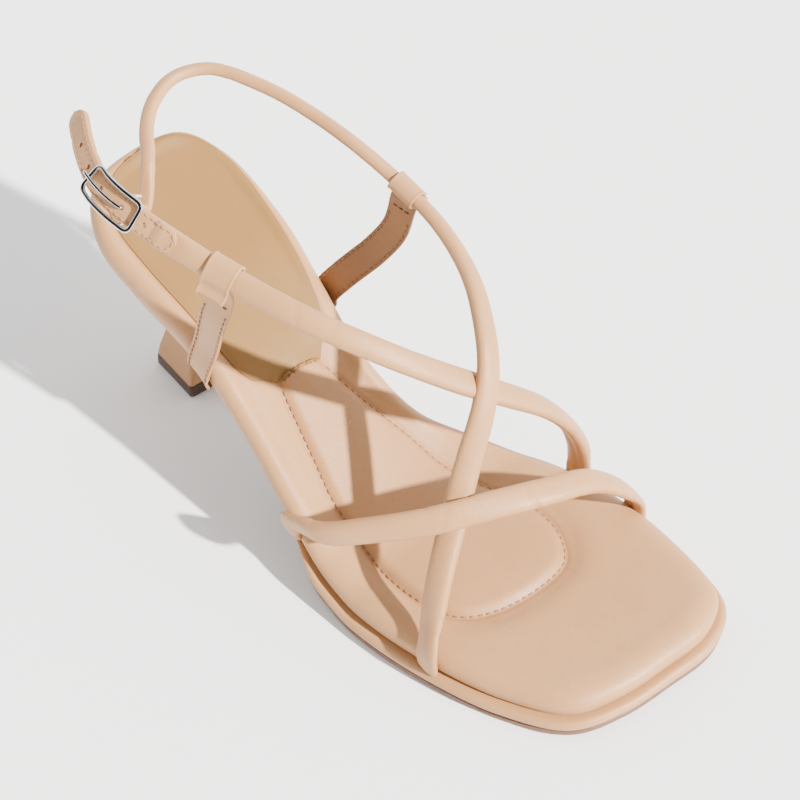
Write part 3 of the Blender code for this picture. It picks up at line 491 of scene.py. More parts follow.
def curve(points, closed, steps, spacing=None):
    """Hermite curve through the points, whose slope at each is the mean of its two chords' slopes."""
    points = np.asarray(points, float)
    spacing = knots(points, closed) if spacing is None else spacing
    slopes = (np.roll(points, -1, axis=0) - points)[: len(spacing)] / spacing[:, None]
    if closed:
        earlier, before = np.roll(slopes, 1, axis=0), np.roll(spacing, 1)[:, None]
        bends = (earlier * spacing[:, None] + slopes * before) / (before + spacing[:, None])
    else:
        before, after = spacing[:-1, None], spacing[1:, None]
        middle = (slopes[:-1] * after + slopes[1:] * before) / (before + after)
        bends = np.concatenate([slopes[:1], middle, slopes[-1:]])
    steps = np.broadcast_to(steps, len(spacing))
    i = np.repeat(np.arange(len(spacing)), steps)
    t = np.concatenate([np.arange(count) / count for count in steps])[:, None]
    j = (i + 1) % len(points)
    level = points[i] * (1 + 2 * t) * (1 - t) ** 2 + points[j] * t * t * (3 - 2 * t)
    turn = bends[i] * t * (1 - t) ** 2 - bends[j] * t * t * (1 - t)
    made = level + turn * spacing[i][:, None]
    return made if closed else np.concatenate([made, points[-1:]])


def run_lengths(path):
    return np.concatenate([[0], np.cumsum(np.linalg.norm(np.diff(path, axis=0), axis=1))])


def resample(path, at, values=None):
    """Points of a path, or values given for each of its points, at the given lengths along it."""
    length = run_lengths(path)
    values = path if values is None else values
    return np.stack([np.interp(at, length, values[:, i]) for i in range(values.shape[1])], axis=-1)


def unit(vectors):
    return vectors / np.linalg.norm(vectors, axis=-1, keepdims=True)


def plan_normals(edge):
    """Outward normals of a closed plan outline that runs anticlockwise seen from above."""
    run = np.roll(edge, -1, axis=0) - np.roll(edge, 1, axis=0)
    return unit(np.stack([run[:, 1], -run[:, 0]], axis=1))


def outline():
    """The footbed's edge as (outer, inner) rows of point and outward normal, from heel to toe."""
    edge = curve(in_plan(EDGE), True, SPAN_STEPS)
    both = np.concatenate([edge, plan_normals(edge)], axis=1)
    toe = int(EDGE[:, 0].argmax()) * SPAN_STEPS
    sides = []
    for order in (np.arange(toe + 1), -np.arange(len(edge) - toe + 1) % len(edge)):
        length = run_lengths(edge[order])
        at = np.linspace(0, length[-1], SOLE_ROWS + 1)
        rows = np.stack([np.interp(at, length, both[order, i]) for i in range(4)], axis=1)
        sides.append((rows[:, :2], unit(rows[:, 2:])))
    return sides


OUTER, INNER = outline()
EDGE_LINE = np.concatenate([OUTER[0], INNER[0][::-1]])


def distance_to(line, spots):
    """Distance in plan from each spot to the nearest point of a line."""
    parts = []
    for part in np.array_split(spots, max(1, len(spots) // 4000)):
        gaps = (part[:, None, 0] - line[None, :, 0]) ** 2 + (part[:, None, 1] - line[None, :, 1]) ** 2
        parts.append(np.sqrt(gaps.min(axis=1)))
    return np.concatenate(parts)


def inside(line, spots):
    """Whether each spot lies in a closed outline: a ray from it then crosses an odd number of sides."""
    ends = np.roll(line, -1, axis=0)
    x, y = spots[:, 0, None], spots[:, 1, None]
    spans = (line[:, 1] > y) != (ends[:, 1] > y)
    rise = np.where(ends[:, 1] == line[:, 1], 1.0, ends[:, 1] - line[:, 1])
    cross = line[:, 0] + (y - line[:, 1]) * (ends[:, 0] - line[:, 0]) / rise
    return (spans & (x < cross)).sum(axis=1) % 2 == 1


def panel_line():
    """The stitched oval: a smooth curve whose rear end is cut straight along the sock's front edge."""
    return curve(in_plan(PANEL), False, 14)


def pad_relief(spots):
    """The oval's seam: a valley exp(-(d / reach)^2), wider outside the seam, with a low crown inside it."""
    away, within = oval_distance(spots)
    reach = np.where(within, INNER_SEAM_REACH, 1.0) * sizes().seam_reach
    valley = -sizes().seam_depth * np.exp(-((away / reach) ** 2))
    crown = np.where(within, CROWN_HEIGHT * (1 - np.exp(-((away / CROWN_REACH) ** 2))), 0.0)
    groove = GROOVE_DEPTH * np.exp(-((away / GROOVE_REACH) ** 2))
    return valley + crown - groove


def oval_distance(spots):
    """Distance to the oval's seam, and whether each spot lies inside it."""
    line = panel_line()
    closed = np.concatenate([line, line[-1] + (line[0] - line[-1]) * np.linspace(0.02, 0.98, 30)[:, None]])
    return distance_to(line, spots), inside(closed, spots)


def pad_level(spots, distance):
    """Height of the footbed's upper face: an elliptic edge, a shallow dish and the oval's seam."""
    x = spots[:, 0]
    thickness = pad_thickness(x)
    belly = PAD_BELLY * thickness
    front = forefoot(x)
    inset = np.clip(distance / (PAD_UPPER_ROUND + (TOE_UPPER_ROUND - PAD_UPPER_ROUND) * front), 0, 1)
    rounded_edge = belly + (thickness - belly) * np.sqrt(1 - (1 - inset) ** 2)
    dish = PAD_DISH * (1 - front) * ramp((distance - DISH_START) / (DISH_SPREAD * (DISH_INSET - DISH_START)))
    return feather(x) + rounded_edge - dish + pad_relief(spots) * ramp((distance - DISH_START) / DISH_START)


def pad_top(spots):
    return pad_level(spots, distance_to(EDGE_LINE, spots))


def pad_normals(spots):
    """Normals of the upper face from its slopes along x and y."""
    rises = []
    for axis in range(2):
        shift = np.eye(2)[axis] * NORMAL_STEP
        rises.append((pad_top(spots + shift) - pad_top(spots - shift)) / (2 * NORMAL_STEP))
    return unit(np.stack([-rises[0], -rises[1], np.ones(len(spots))], axis=1))


def edge_at(side, along):
    edge, normal = side
    share = x_to_along(edge[:, 0])
    spot = np.array([np.interp(along, share, edge[:, i]) for i in range(2)])
    return spot, unit(np.array([np.interp(along, share, normal[:, i]) for i in range(2)]))


def on_edge(side, along, outset, height):
    """A point beside the footbed's edge, height above its underside."""
    spot, out = edge_at(side, along)
    spot = spot + out * outset
    return np.array([spot[0], spot[1], feather(spot[0]) + height])


def nearest_core(spots):
    """The points of the foot's middle line that are nearest."""
    core = in_space(CORE)
    start, run = core[:-1], np.diff(core, axis=0)
    offset = spots[:, None] - start[None]
    t = np.clip((offset * run).sum(axis=2) / (run * run).sum(axis=1), 0, 1)
    near = start + run * t[..., None]
    best = np.linalg.norm(spots[:, None] - near, axis=2).argmin(axis=1)
    return near[np.arange(len(spots)), best]


def frames(path):
    """Unit vectors along the path, away from the foot, and across the strap."""
    run = unit(np.gradient(path, axis=0))
    away = path - nearest_core(path)
    for _ in range(6):
        away[1:-1] = (away[:-2] + 2 * away[1:-1] + away[2:]) / 4
    away = unit(away - run * (away * run).sum(axis=1, keepdims=True))
    return run, away, np.cross(away, run)


def sample_route(points):
    points = np.array(points)
    spans = np.linalg.norm(np.diff(points, axis=0), axis=1)
    return curve(points, False, np.maximum(2, np.round(spans / STRAP_STEP)).astype(int))


def path_shares(path):
    length = run_lengths(path)
    return length / length[-1]


def share_at(path, along):
    """Share of a strap's length at which it passes a place along the shoe on its way to the heel."""
    x, goal = path[:, 0], along_to_x(along)
    passed = np.nonzero((x[:-1] >= goal) & (x[1:] < goal))[0][0]
    shares = path_shares(path)
    part = (x[passed] - goal) / (x[passed] - x[passed + 1])
    return shares[passed] + (shares[passed + 1] - shares[passed]) * part


def lift_over(upper, lower, distance):
    """Moves the upper path out where it crosses the lower one, by a bump exp(-(length / reach)^2)."""
    gaps = np.linalg.norm(upper[:, None] - lower[None], axis=2)
    i, j = np.unravel_index(gaps.argmin(), gaps.shape)
    away = frames(lower)[1][j]
    missing = distance - (upper[i] - lower[j]) @ away
    length = path_shares(upper) * run_lengths(upper)[-1]
    bump = np.exp(-(((length - length[i]) / CROSSING_REACH) ** 2))
    return upper + bump[:, None] * away * missing


def strap_foot(side, along):
    return [on_edge(side, along, FOOT_OUTSET, height) for height in (FOOT_LIFT, FOREFOOT_PAD_THICKNESS)]


def local_frame(path, share):
    """Point and unit vectors of a strap at a share of its length."""
    fields = [path, *frames(path)]
    shares = path_shares(path)
    spot, *vectors = [np.array([np.interp(share, shares, field[:, i]) for i in range(3)]) for field in fields]
    return spot, *[unit(vector) for vector in vectors]


def buckle_frame_at(buckle_strap, place):
    """Local frame of the buckle strap at a share of the buckle's length."""
    share = share_at(buckle_strap, BUCKLE_ALONG)
    return local_frame(buckle_strap, share + (place - 0.5) * BUCKLE_LENGTH / run_lengths(buckle_strap)[-1])


def bar_drop():
    return FLAT_THICKNESS / 2 + GAP + PRONG_WIRE + GAP + BUCKLE_WIRE / 2


def frame_lift():
    return FLAT_THICKNESS / 2 + GAP + BUCKLE_WIRE / 2


def frame_half_width():
    return FLAT_WIDTH / 2 + GAP + BUCKLE_WIRE / 2


def prong_rise():
    return BUCKLE_WIRE / 2 + GAP + PRONG_WIRE / 2


def eyelet_radius():
    return LINK_WIRE / 2 + HOLE_CLEARANCE


def link_places(buckle_strap):
    """The link round the cross bar, beside the prong's eye, and the eyelet that it passes through."""
    spot, run, away, side = buckle_frame_at(buckle_strap, BAR_PLACE)
    bar = spot - away * bar_drop() + side * (PRONG_WIRE / 2 + GAP + LINK_WIRE / 2)
    back = run * math.cos(LINK_TILT) - away * math.sin(LINK_TILT)
    before = BUCKLE_WIRE / 2 + GAP + LINK_WIRE / 2
    rear = bar + back * (LINK_LENGTH - LINK_WIRE - before)
    return {
        "front": bar - back * before,
        "rear": rear,
        "out": np.cross(back, side),
        "eyelet_start": rear + back * LINK_LENGTH / 2,
        "strap_end": rear - back * (eyelet_radius() + EYELET_EDGE),
    }


def strap_paths():
    """Middle lines of the three straps, each set to touch the one that it crosses."""
    buckle_strap = sample_route([*strap_foot(INNER, BUCKLE_FOOT), *in_space(BUCKLE_ROUTE)])
    link = link_places(buckle_strap)
    ankle_strap = [*strap_foot(OUTER, ANKLE_FOOT), *in_space(ANKLE_ROUTE)]
    ankle_strap = sample_route([*ankle_strap, link["eyelet_start"], link["strap_end"]])
    start, end = BALL_FEET
    ball_strap = [on_edge(OUTER, start, FOOT_OUTSET, BALL_START_LIFT), *in_space(BALL_ROUTE)]
    ball_strap = sample_route(ball_strap + strap_foot(INNER, end)[::-1])
    touch = STRAP_THICKNESS - CROSSING_JOIN
    ankle_strap = lift_over(ankle_strap, buckle_strap, touch)
    ball_strap = lift_over(ball_strap, ankle_strap, touch)
    return {"ball": ball_strap, "ankle": ankle_strap, "buckle": buckle_strap}


STRAPS = strap_paths()


def fine_strap(path):
    """The strap's path and frames with FINE_STEPS samples for each of the path's own."""
    spacing = knots(path, False)
    away = curve(frames(path)[1], False, FINE_STEPS, spacing)
    path = curve(path, False, FINE_STEPS, spacing)
    run = unit(np.gradient(path, axis=0))
    away = unit(away - run * (away * run).sum(axis=1, keepdims=True))
    return path, run, away, np.cross(away, run)


def oval(angles, power):
    """Points of |x|^(2 / power) + |y|^(2 / power) = 1."""
    c, s = np.cos(angles), np.sin(angles)
    return np.sign(c) * np.abs(c) ** power, np.sign(s) * np.abs(s) ** power


def grid_faces(rows, columns):
    first = (np.arange(rows - 1)[:, None] * columns + np.arange(columns - 1)).reshape(-1)
    return np.stack([first, first + 1, first + columns + 1, first + columns], axis=1)


def mesh_of(name, grids, maps=None, fields=None):
    """One mesh from grids of points (grid, row, column, xyz), with edges merged and faces turned outwards.

    maps holds a UV place for each point, in metres, and fields named values for each point.
    """
    grids = np.asarray(grids)
    count, rows, columns = grids.shape[:3]
    faces = grid_faces(rows, columns)[None] + np.arange(count)[:, None, None] * rows * columns
    faces = faces.reshape(-1, 4)
    mesh = bpy.data.meshes.new(name)
    mesh.from_pydata(grids.reshape(-1, 3).tolist(), [], faces.tolist())
    if maps is not None:
        layer = mesh.uv_layers.new(name="Surface")
        layer.data.foreach_set("uv", np.asarray(maps).reshape(-1, 2)[faces.reshape(-1)].reshape(-1))
    for key, values in (fields or {}).items():
        attribute = mesh.attributes.new(key, "FLOAT", "POINT")
        attribute.data.foreach_set("value", np.ascontiguousarray(values, dtype=float).reshape(-1))
    work = bmesh.new()
    work.from_mesh(mesh)
    bmesh.ops.remove_doubles(work, verts=work.verts, dist=1e-6)
    bmesh.ops.recalc_face_normals(work, faces=work.faces)
    work.to_mesh(mesh)
    work.free()
    mesh.shade_smooth()
    return mesh


def join_meshes(name, meshes):
    """One mesh of several, with their UV maps and fields."""
    work = bmesh.new()
    for mesh in meshes:
        work.from_mesh(mesh)
    made = bpy.data.meshes.new(name)
    work.to_mesh(made)
    work.free()
    made.shade_smooth()
    return made


def add_piece(name, mesh, finish, replaced=()):
    """Puts a mesh into the scene as a piece of the shoe, which has one body."""
    piece = bpy.data.objects.new(name, mesh)
    bpy.context.scene.collection.objects.link(piece)
    mesh.materials.append(finish_called(finish))
    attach(piece, "root")
    if replaced:
        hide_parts(*replaced)
    return piece


def with_ends(grid, start, end):
    """A grid of rings, closed by a row of one point at each end."""
    first, last = [np.broadcast_to(spot, grid[:1].shape) for spot in (start, end)]
    return np.concatenate([first, grid, last])


def repeat_ends(rows):
    """Values for a grid's rows, with those of the first and last row repeated for its closed ends."""
    return np.concatenate([rows[:1], rows, rows[-1:]])


def banded(grid, band, value):
    """A field of zeros over a grid, with one value in a band of it."""
    field = np.zeros(grid.shape[:2])
    field[band] = value
    return field


class Tree:
    """Short calls for building a node tree: a value, a socket or a node's first output may feed an input."""

    def __init__(self, tree):
        self.tree = tree

    def add(self, kind, inputs=None, **settings):
        node = self.tree.nodes.new(kind)
        for key, value in settings.items():
            setattr(node, key, value)
        for key, value in (inputs or {}).items():
            self.feed(node.inputs[key], value)
        return node

    def feed(self, socket, value):
        if isinstance(value, bpy.types.NodeSocket):
            self.tree.links.new(value, socket)
        elif isinstance(value, bpy.types.Node):
            self.tree.links.new(value.outputs[0], socket)
        else:
            socket.default_value = value

    def math(self, operation, *values, clamp=False):
        inputs = dict(enumerate(values))
        return self.add("ShaderNodeMath", inputs, operation=operation, use_clamp=clamp).outputs[0]

    def spread(self, value, low, high, to_low=0.0, to_high=1.0):
        """Maps low..high smoothly onto to_low..to_high."""
        inputs = {"Value": value, "From Min": low, "From Max": high, "To Min": to_low, "To Max": to_high}
        return self.add("ShaderNodeMapRange", inputs, interpolation_type="SMOOTHSTEP").outputs[0]

    def mix(self, factor, first, second):
        node = self.add("ShaderNodeMix", data_type="RGBA")
        for index, value in ((0, factor), (6, first), (7, second)):
            self.feed(node.inputs[index], value)
        return node.outputs[2]

    def noise(self, vector, scale, detail=3.0, roughness=0.55):
        inputs = {"Vector": vector, "Scale": scale, "Detail": detail, "Roughness": roughness}
        return self.add("ShaderNodeTexNoise", inputs).outputs[0]

    def group(self, name, inputs):
        node = self.add("ShaderNodeGroup", node_tree=bpy.data.node_groups[name])
        self.set(node, inputs)
        return node.outputs

    def set(self, node, inputs):
        for key, value in inputs.items():
            self.feed(node.inputs[key], value)

    def field(self, name):
        """A value that the mesh holds for each of its points."""
        return self.add("ShaderNodeAttribute", attribute_name=name).outputs["Fac"]

    def dot(self, first, second):
        inputs = {0: first, 1: second}
        return self.add("ShaderNodeVectorMath", inputs, operation="DOT_PRODUCT").outputs["Value"]


def make_group(name, inputs, outputs):
    """An empty node group with these named sockets, as (Tree, input sockets, output node)."""
    made = bpy.data.node_groups.new(name, "ShaderNodeTree")
    for label, kind, default in inputs:
        socket = made.interface.new_socket(name=label, in_out="INPUT", socket_type=kind)
        if default is not None:
            socket.default_value = default
    for label, kind in outputs:
        made.interface.new_socket(name=label, in_out="OUTPUT", socket_type=kind)
    tree = Tree(made)
    return tree, tree.add("NodeGroupInput").outputs, tree.add("NodeGroupOutput")


def leather_grain_group():
    """Pebbled leather: cells with soft furrows between them, pores, fine creases and slow blotches."""
    tree, given, out = make_group(
        "Leather Grain",
        [("Vector", "NodeSocketVector", None), ("Cells per Metre", "NodeSocketFloat", 1600.0)],
        [("Height", "NodeSocketFloat"), ("Blotch", "NodeSocketFloat"), ("Crease", "NodeSocketFloat")],
    )
    vector, rate = given["Vector"], given["Cells per Metre"]
    warp = tree.add("ShaderNodeTexNoise", {"Vector": vector, "Scale": tree.math("MULTIPLY", rate, 0.22)})
    bend = tree.add("ShaderNodeVectorMath", {0: warp.outputs[1], 1: (0.5, 0.5, 0.5)}, operation="SUBTRACT")
    bend = tree.add("ShaderNodeVectorMath", {0: bend.outputs[0], "Scale": 0.0009}, operation="SCALE")
    bent = tree.add("ShaderNodeVectorMath", {0: vector, 1: bend.outputs[0]}, operation="ADD").outputs[0]
    cells = {"Vector": bent, "Scale": rate, "Randomness": 0.95}
    cells = tree.add("ShaderNodeTexVoronoi", cells, feature="DISTANCE_TO_EDGE").outputs["Distance"]
    furrow = tree.spread(cells, 0.0, 0.24)
    pores = tree.noise(vector, tree.math("MULTIPLY", rate, 2.6), 2.0)
    folds = tree.noise(bent, tree.math("MULTIPLY", rate, 0.10), 5.0, 0.62)
    crease = tree.spread(tree.math("ABSOLUTE", tree.math("SUBTRACT", folds, 0.5)), 0.0, 0.028)
    blotch = tree.noise(vector, 42.0, 4.0, 0.6)
    height = tree.math("ADD", tree.math("MULTIPLY", furrow, 0.55), tree.math("MULTIPLY", pores, 0.35))
    height = tree.math("ADD", height, tree.math("MULTIPLY", crease, 0.30))
    tree.feed(out.inputs["Height"], height)
    tree.feed(out.inputs["Blotch"], tree.spread(blotch, 0.32, 0.68))
    tree.feed(out.inputs["Crease"], crease)


def wear_and_highlight_group():
    """Paler edges: a mask that follows the given rim value, broken up by scuffs; rubbed wear, and on the
    leather also a painted highlight.
    """
    tree, given, out = make_group(
        "Wear and Painted Highlight",
        [
            ("Vector", "NodeSocketVector", None),
            ("Rim", "NodeSocketFloat", 0.0),
            ("Amount", "NodeSocketFloat", 0.5),
        ],
        [("Mask", "NodeSocketFloat"), ("Scuff", "NodeSocketFloat")],
    )
    scuff = tree.spread(tree.noise(given["Vector"], 260.0, 6.0, 0.7), 0.42, 0.66)
    broken = tree.math("MULTIPLY", given["Rim"], tree.math("ADD", tree.math("MULTIPLY", scuff, 0.5), 0.5))
    tree.feed(out.inputs["Mask"], tree.math("MULTIPLY", broken, given["Amount"], clamp=True))
    tree.feed(out.inputs["Scuff"], scuff)


def scratches_group():
    """Hair scratches and smears on metal or rubber."""
    tree, given, out = make_group(
        "Fine Scratches",
        [("Vector", "NodeSocketVector", None), ("Scale", "NodeSocketFloat", 900.0)],
        [("Height", "NodeSocketFloat"), ("Smear", "NodeSocketFloat")],
    )
    stretched = tree.add("ShaderNodeMapping", {"Vector": given["Vector"], "Scale": (0.35, 2.2, 0.6)})
    fine = tree.noise(stretched.outputs[0], given["Scale"], 6.0, 0.7)
    tree.feed(out.inputs["Height"], fine)
    tree.feed(out.inputs["Smear"], tree.spread(tree.noise(given["Vector"], 180.0, 4.0), 0.35, 0.7))


def new_material(name):
    """A material as (material, Tree, Principled node, object coordinates)."""
    made = bpy.data.materials.new(name)
    made.use_nodes = True
    tree = Tree(made.node_tree)
    shader = made.node_tree.nodes["Principled BSDF"]
    return made, tree, shader, tree.add("ShaderNodeTexCoord").outputs["Object"]


def bump(tree, shader, height, distance, strength=1.0):
    node = tree.add("ShaderNodeBump", {"Height": height, "Distance": distance, "Strength": strength})
    tree.feed(shader.inputs["Normal"], node.outputs[0])


def shade(colour, factor=1.0):
    """A colour socket's value: the colour times a factor, 1 at most, with full alpha."""
    return (*(min(1.0, value * factor) for value in colour), 1.0)


def leather_grain(tree, place, cells=1.0):
    return tree.group("Leather Grain", {"Vector": place, "Cells per Metre": cells / sizes().grain})


def blotched(tree, grain, share, first, second):
    """The first colour, turned toward the second by a share of the grain's blotches."""
    return tree.mix(tree.math("MULTIPLY", grain["Blotch"], share), first, second)


def leather_material():
    """Smooth nude leather: fine grain, rims paler by wear and a painted highlight, painted shade in folds."""
    made, tree, shader, place = new_material("nude leather")
    grain = leather_grain(tree, place)
    rim, painted_shade = tree.field("rim"), tree.field("painted_shade")
    wear_and_highlight = tree.group("Wear and Painted Highlight", {"Vector": place, "Rim": rim, "Amount": 0.35})
    leather, deep = shade(colours().leather), shade(colours().leather_deep)
    base = blotched(tree, grain, 0.30, leather, deep)
    base = tree.mix(tree.math("MULTIPLY", tree.math("SUBTRACT", 1.0, grain["Crease"]), 0.16), base, deep)
    # Painted shade: the mesh's painted_shade field turns the colour toward the deep leather.
    base = tree.mix(painted_shade, base, deep)
    # Rims paler: rubbed wear together with a painted highlight.
    base = tree.mix(wear_and_highlight["Mask"], base, shade(colours().leather, 1.13))
    roughness = tree.spread(grain["Blotch"], 0.0, 1.0, 0.40, 0.50)
    tree.set(shader, {"Base Color": base, "Roughness": roughness, "Specular IOR Level": 0.36})
    tree.set(shader, {"Sheen Weight": 0.03, "Sheen Roughness": 0.35})
    bump(tree, shader, grain["Height"], 0.00007, 0.6)
    return made


def loop_material():
    """The loops: nude leather, and a darker tan-brown on the leg's face toward the foot."""
    made, tree, shader, place = new_material("loop leather")
    grain = leather_grain(tree, place)
    foot_face = tree.field("foot_face")
    outer = blotched(tree, grain, 0.30, shade(colours().leather), shade(colours().leather_deep))
    inner = blotched(tree, grain, 0.6, shade(colours().foot_face), shade(colours().foot_face, 0.8))
    base = tree.mix(tree.spread(foot_face, 0.4, 0.6), outer, inner)
    roughness = tree.spread(grain["Blotch"], 0.0, 1.0, 0.42, 0.54)
    tree.set(shader, {"Base Color": base, "Roughness": roughness, "Specular IOR Level": 0.4})
    bump(tree, shader, grain["Height"], 0.00007, 0.6)
    return made


def sock_material():
    """Tan sock leather: matt, with fine pores and a rim darkened by painted shade along its edge."""
    made, tree, shader, place = new_material("sock leather")
    grain = leather_grain(tree, place, 1.4)
    rim = tree.field("rim")
    deep = shade(colours().sock, 0.86)
    base = blotched(tree, grain, 0.5, shade(colours().sock), deep)
    # Painted shade: the rim is darkened where the sock's edge meets the padding.
    base = tree.mix(tree.math("MULTIPLY", rim, 0.5), base, deep)
    roughness = tree.spread(grain["Blotch"], 0.0, 1.0, 0.55, 0.66)
    tree.set(shader, {"Base Color": base, "Roughness": roughness, "Specular IOR Level": 0.35})
    bump(tree, shader, grain["Height"], 0.00005, 0.55)
    return made


def thread_material(name, colour):
    """Twisted thread: fine noise across each stitch."""
    made, tree, shader, place = new_material(name)
    fibre = tree.noise(place, 5200.0, 3.0, 0.6)
    base = tree.mix(tree.spread(fibre, 0.35, 0.65), shade(colour, 0.7), shade(colour))
    tree.set(shader, {"Base Color": base, "Roughness": 0.6, "Sheen Weight": 0.1})
    bump(tree, shader, fibre, 0.00006, 0.6)
    return made


def nude_thread_material():
    return thread_material("nude thread", colours().thread)


def tan_thread_material():
    return thread_material("tan thread", colours().tan_thread)


def sole_material():
    """Brown leather board and outsole: fibrous, matt, with scuffs."""
    made, tree, shader, place = new_material("sole leather")
    layered = tree.add("ShaderNodeMapping", {"Vector": place, "Scale": (1.0, 1.0, 6.0)}).outputs[0]
    fibre = tree.noise(layered, 420.0, 6.0, 0.65)
    wear_and_highlight = tree.group("Wear and Painted Highlight", {"Vector": place, "Rim": tree.field("rim"), "Amount": 0.5})
    pale = shade(colours().sole, 1.7)
    fibrous = tree.math("MULTIPLY", tree.spread(fibre, 0.3, 0.7), 0.35)
    base = tree.mix(wear_and_highlight["Mask"], tree.mix(fibrous, shade(colours().sole), pale), pale)
    roughness = tree.spread(wear_and_highlight["Scuff"], 0.0, 1.0, 0.5, 0.72)
    tree.set(shader, {"Base Color": base, "Roughness": roughness})
    bump(tree, shader, fibre, 0.00008, 0.6)
    return made


def rubber_material():
    """Dark brown top piece: matt rubber with fine scratches and a rubbed lower edge."""
    made, tree, shader, place = new_material("top piece rubber")
    scratch = tree.group("Fine Scratches", {"Vector": place, "Scale": 1100.0})
    wear_and_highlight = tree.group("Wear and Painted Highlight", {"Vector": place, "Rim": tree.field("rim"), "Amount": 0.8})
    pale = shade(colours().rubber, 1.9)
    base = tree.mix(tree.math("MULTIPLY", scratch["Smear"], 0.35), shade(colours().rubber), pale)
    roughness = tree.spread(scratch["Smear"], 0.0, 1.0, 0.48, 0.66)
    tree.set(shader, {"Base Color": tree.mix(wear_and_highlight["Mask"], base, pale), "Roughness": roughness})
    bump(tree, shader, scratch["Height"], 0.00006, 0.5)
    return made


def metal_material():
    """Polished metal with faint smears, and a painted dark reflection where it faces the studio's dark wall.
    """
    made, tree, shader, place = new_material("polished metal")
    scratch = tree.group("Fine Scratches", {"Vector": place, "Scale": 2400.0})
    base = tree.mix(scratch["Smear"], shade(colours().metal), shade(colours().metal, 0.88))
    # Painted reflection: the colour turns dark where the normal faces the dark wall's direction.
    facing = tree.dot(tree.add("ShaderNodeNewGeometry").outputs["Normal"], DARK_WALL)
    base = tree.mix(tree.spread(facing, 0.62, 0.90), base, PAINTED_DARK_REFLECTION)
    roughness = tree.spread(scratch["Smear"], 0.0, 1.0, 0.05, 0.12)
    tree.set(shader, {"Base Color": base, "Roughness": roughness, "Metallic": 1.0})
    bump(tree, shader, scratch["Height"], 0.00001, 0.3)
    return made


def floor_material():
    """Pale studio floor with the faintest unevenness."""
    made, tree, shader, place = new_material("studio floor")
    base = tree.mix(tree.noise(place, 3.0, 3.0), shade(colours().floor), shade(colours().floor, 0.985))
    tree.set(shader, {"Base Color": base, "Roughness": 0.85, "Specular IOR Level": 0.2})
    return made


MATERIALS = {
    "nude leather": leather_material,
    "loop leather": loop_material,
    "sock leather": sock_material,
    "nude thread": nude_thread_material,
    "tan thread": tan_thread_material,
    "sole leather": sole_material,
    "top piece rubber": rubber_material,
    "polished metal": metal_material,
    "studio floor": floor_material,
}


def finish_called(name):
    """The material of that name, made when it is first asked for."""
    if "Leather Grain" not in bpy.data.node_groups:
        leather_grain_group()
        wear_and_highlight_group()
        scratches_group()
    return bpy.data.materials.get(name) or MATERIALS[name]()


def layer_rows(profile, first=0):
    """Cross sections of a sole layer from heel to toe, as side points (side, row, point, xyz) of a profile.

    profile(x) gives (outset, height) as arrays of row by point, from bottom to top.
    """
    sides = []
    for edge, normal in (OUTER, INNER):
        edge, normal = edge[first:], normal[first:]
        outset, height = profile(edge[:, 0])
        spots = edge[:, None] + normal[:, None] * outset[..., None]
        sides.append(np.concatenate([spots, (feather(spots[..., 0]) + height)[..., None]], axis=2))
    return sides


def across(start, end, count):
    """Points strictly between two columns of points."""
    t = (np.arange(1, count + 1) / (count + 1))[None, :, None]
    return start[:, None] * (1 - t) + end[:, None] * t


def layer_grid(profile, columns, first=0, capped=False):
    """A closed sole layer: outer side up, upper face, inner side down, lower face."""
    outer, inner = layer_rows(profile, first)
    top, bottom = across(outer[:, -1], inner[:, -1], columns), across(inner[:, 0], outer[:, 0], columns)
    for face, point in ((top, outer[:, -1:]), (bottom, outer[:, :1])):
        lift = point[..., 2] - feather(point[..., 0])
        face[..., 2] = feather(face[..., 0]) + lift
    grid = np.concatenate([outer, top, inner[:, ::-1], bottom, outer[:, :1]], axis=1)
    if capped:
        middle = np.broadcast_to(grid[:1].mean(axis=1, keepdims=True), grid[:1].shape)
        grid = np.concatenate([middle, grid])
    return grid


def platform_reach(x):
    return -BOARD_INSET + (RAND_REACH + BOARD_INSET) * forefoot(x)


def build_rand():
    """The leather-covered platform: a half-round rand that thins to the board's edge at the waist."""

    def profile(x):
        angles = np.radians(np.linspace(-90, 90, 13))[None]
        roll = platform_thickness(x)[:, None] / 2
        return platform_reach(x)[:, None] - roll * (1 - np.cos(angles)), -GAP - roll + roll * np.sin(angles)

    grid = layer_grid(profile, 24)
    mesh = mesh_of("rand_and_board", [grid], fields={"rim": banded(grid, np.s_[:, 3:10], 0.7)})
    add_piece("rand_and_board", mesh, "nude leather", ["insole_platform"])


def build_outsole():
    """A thin sheet under the platform, with its lower edge rounded by wear."""

    def profile(x):
        reach = (platform_reach(x) - OUTSOLE_INSET)[:, None]
        top = (-2 * GAP - platform_thickness(x))[:, None]
        return reach - OUTSOLE_EDGE[None, :, 0], top - OUTSOLE_THICKNESS + OUTSOLE_EDGE[None, :, 1]

    first = int(np.argmax(x_to_along(OUTER[0][:, 0]) >= OUTSOLE_START))
    grid = layer_grid(profile, 24, first, capped=True)
    mesh = mesh_of("outsole_sheet", [grid], fields={"rim": banded(grid, np.s_[:, :4], 1.0)})
    add_piece("outsole_sheet", mesh, "sole leather", ["outsole"])


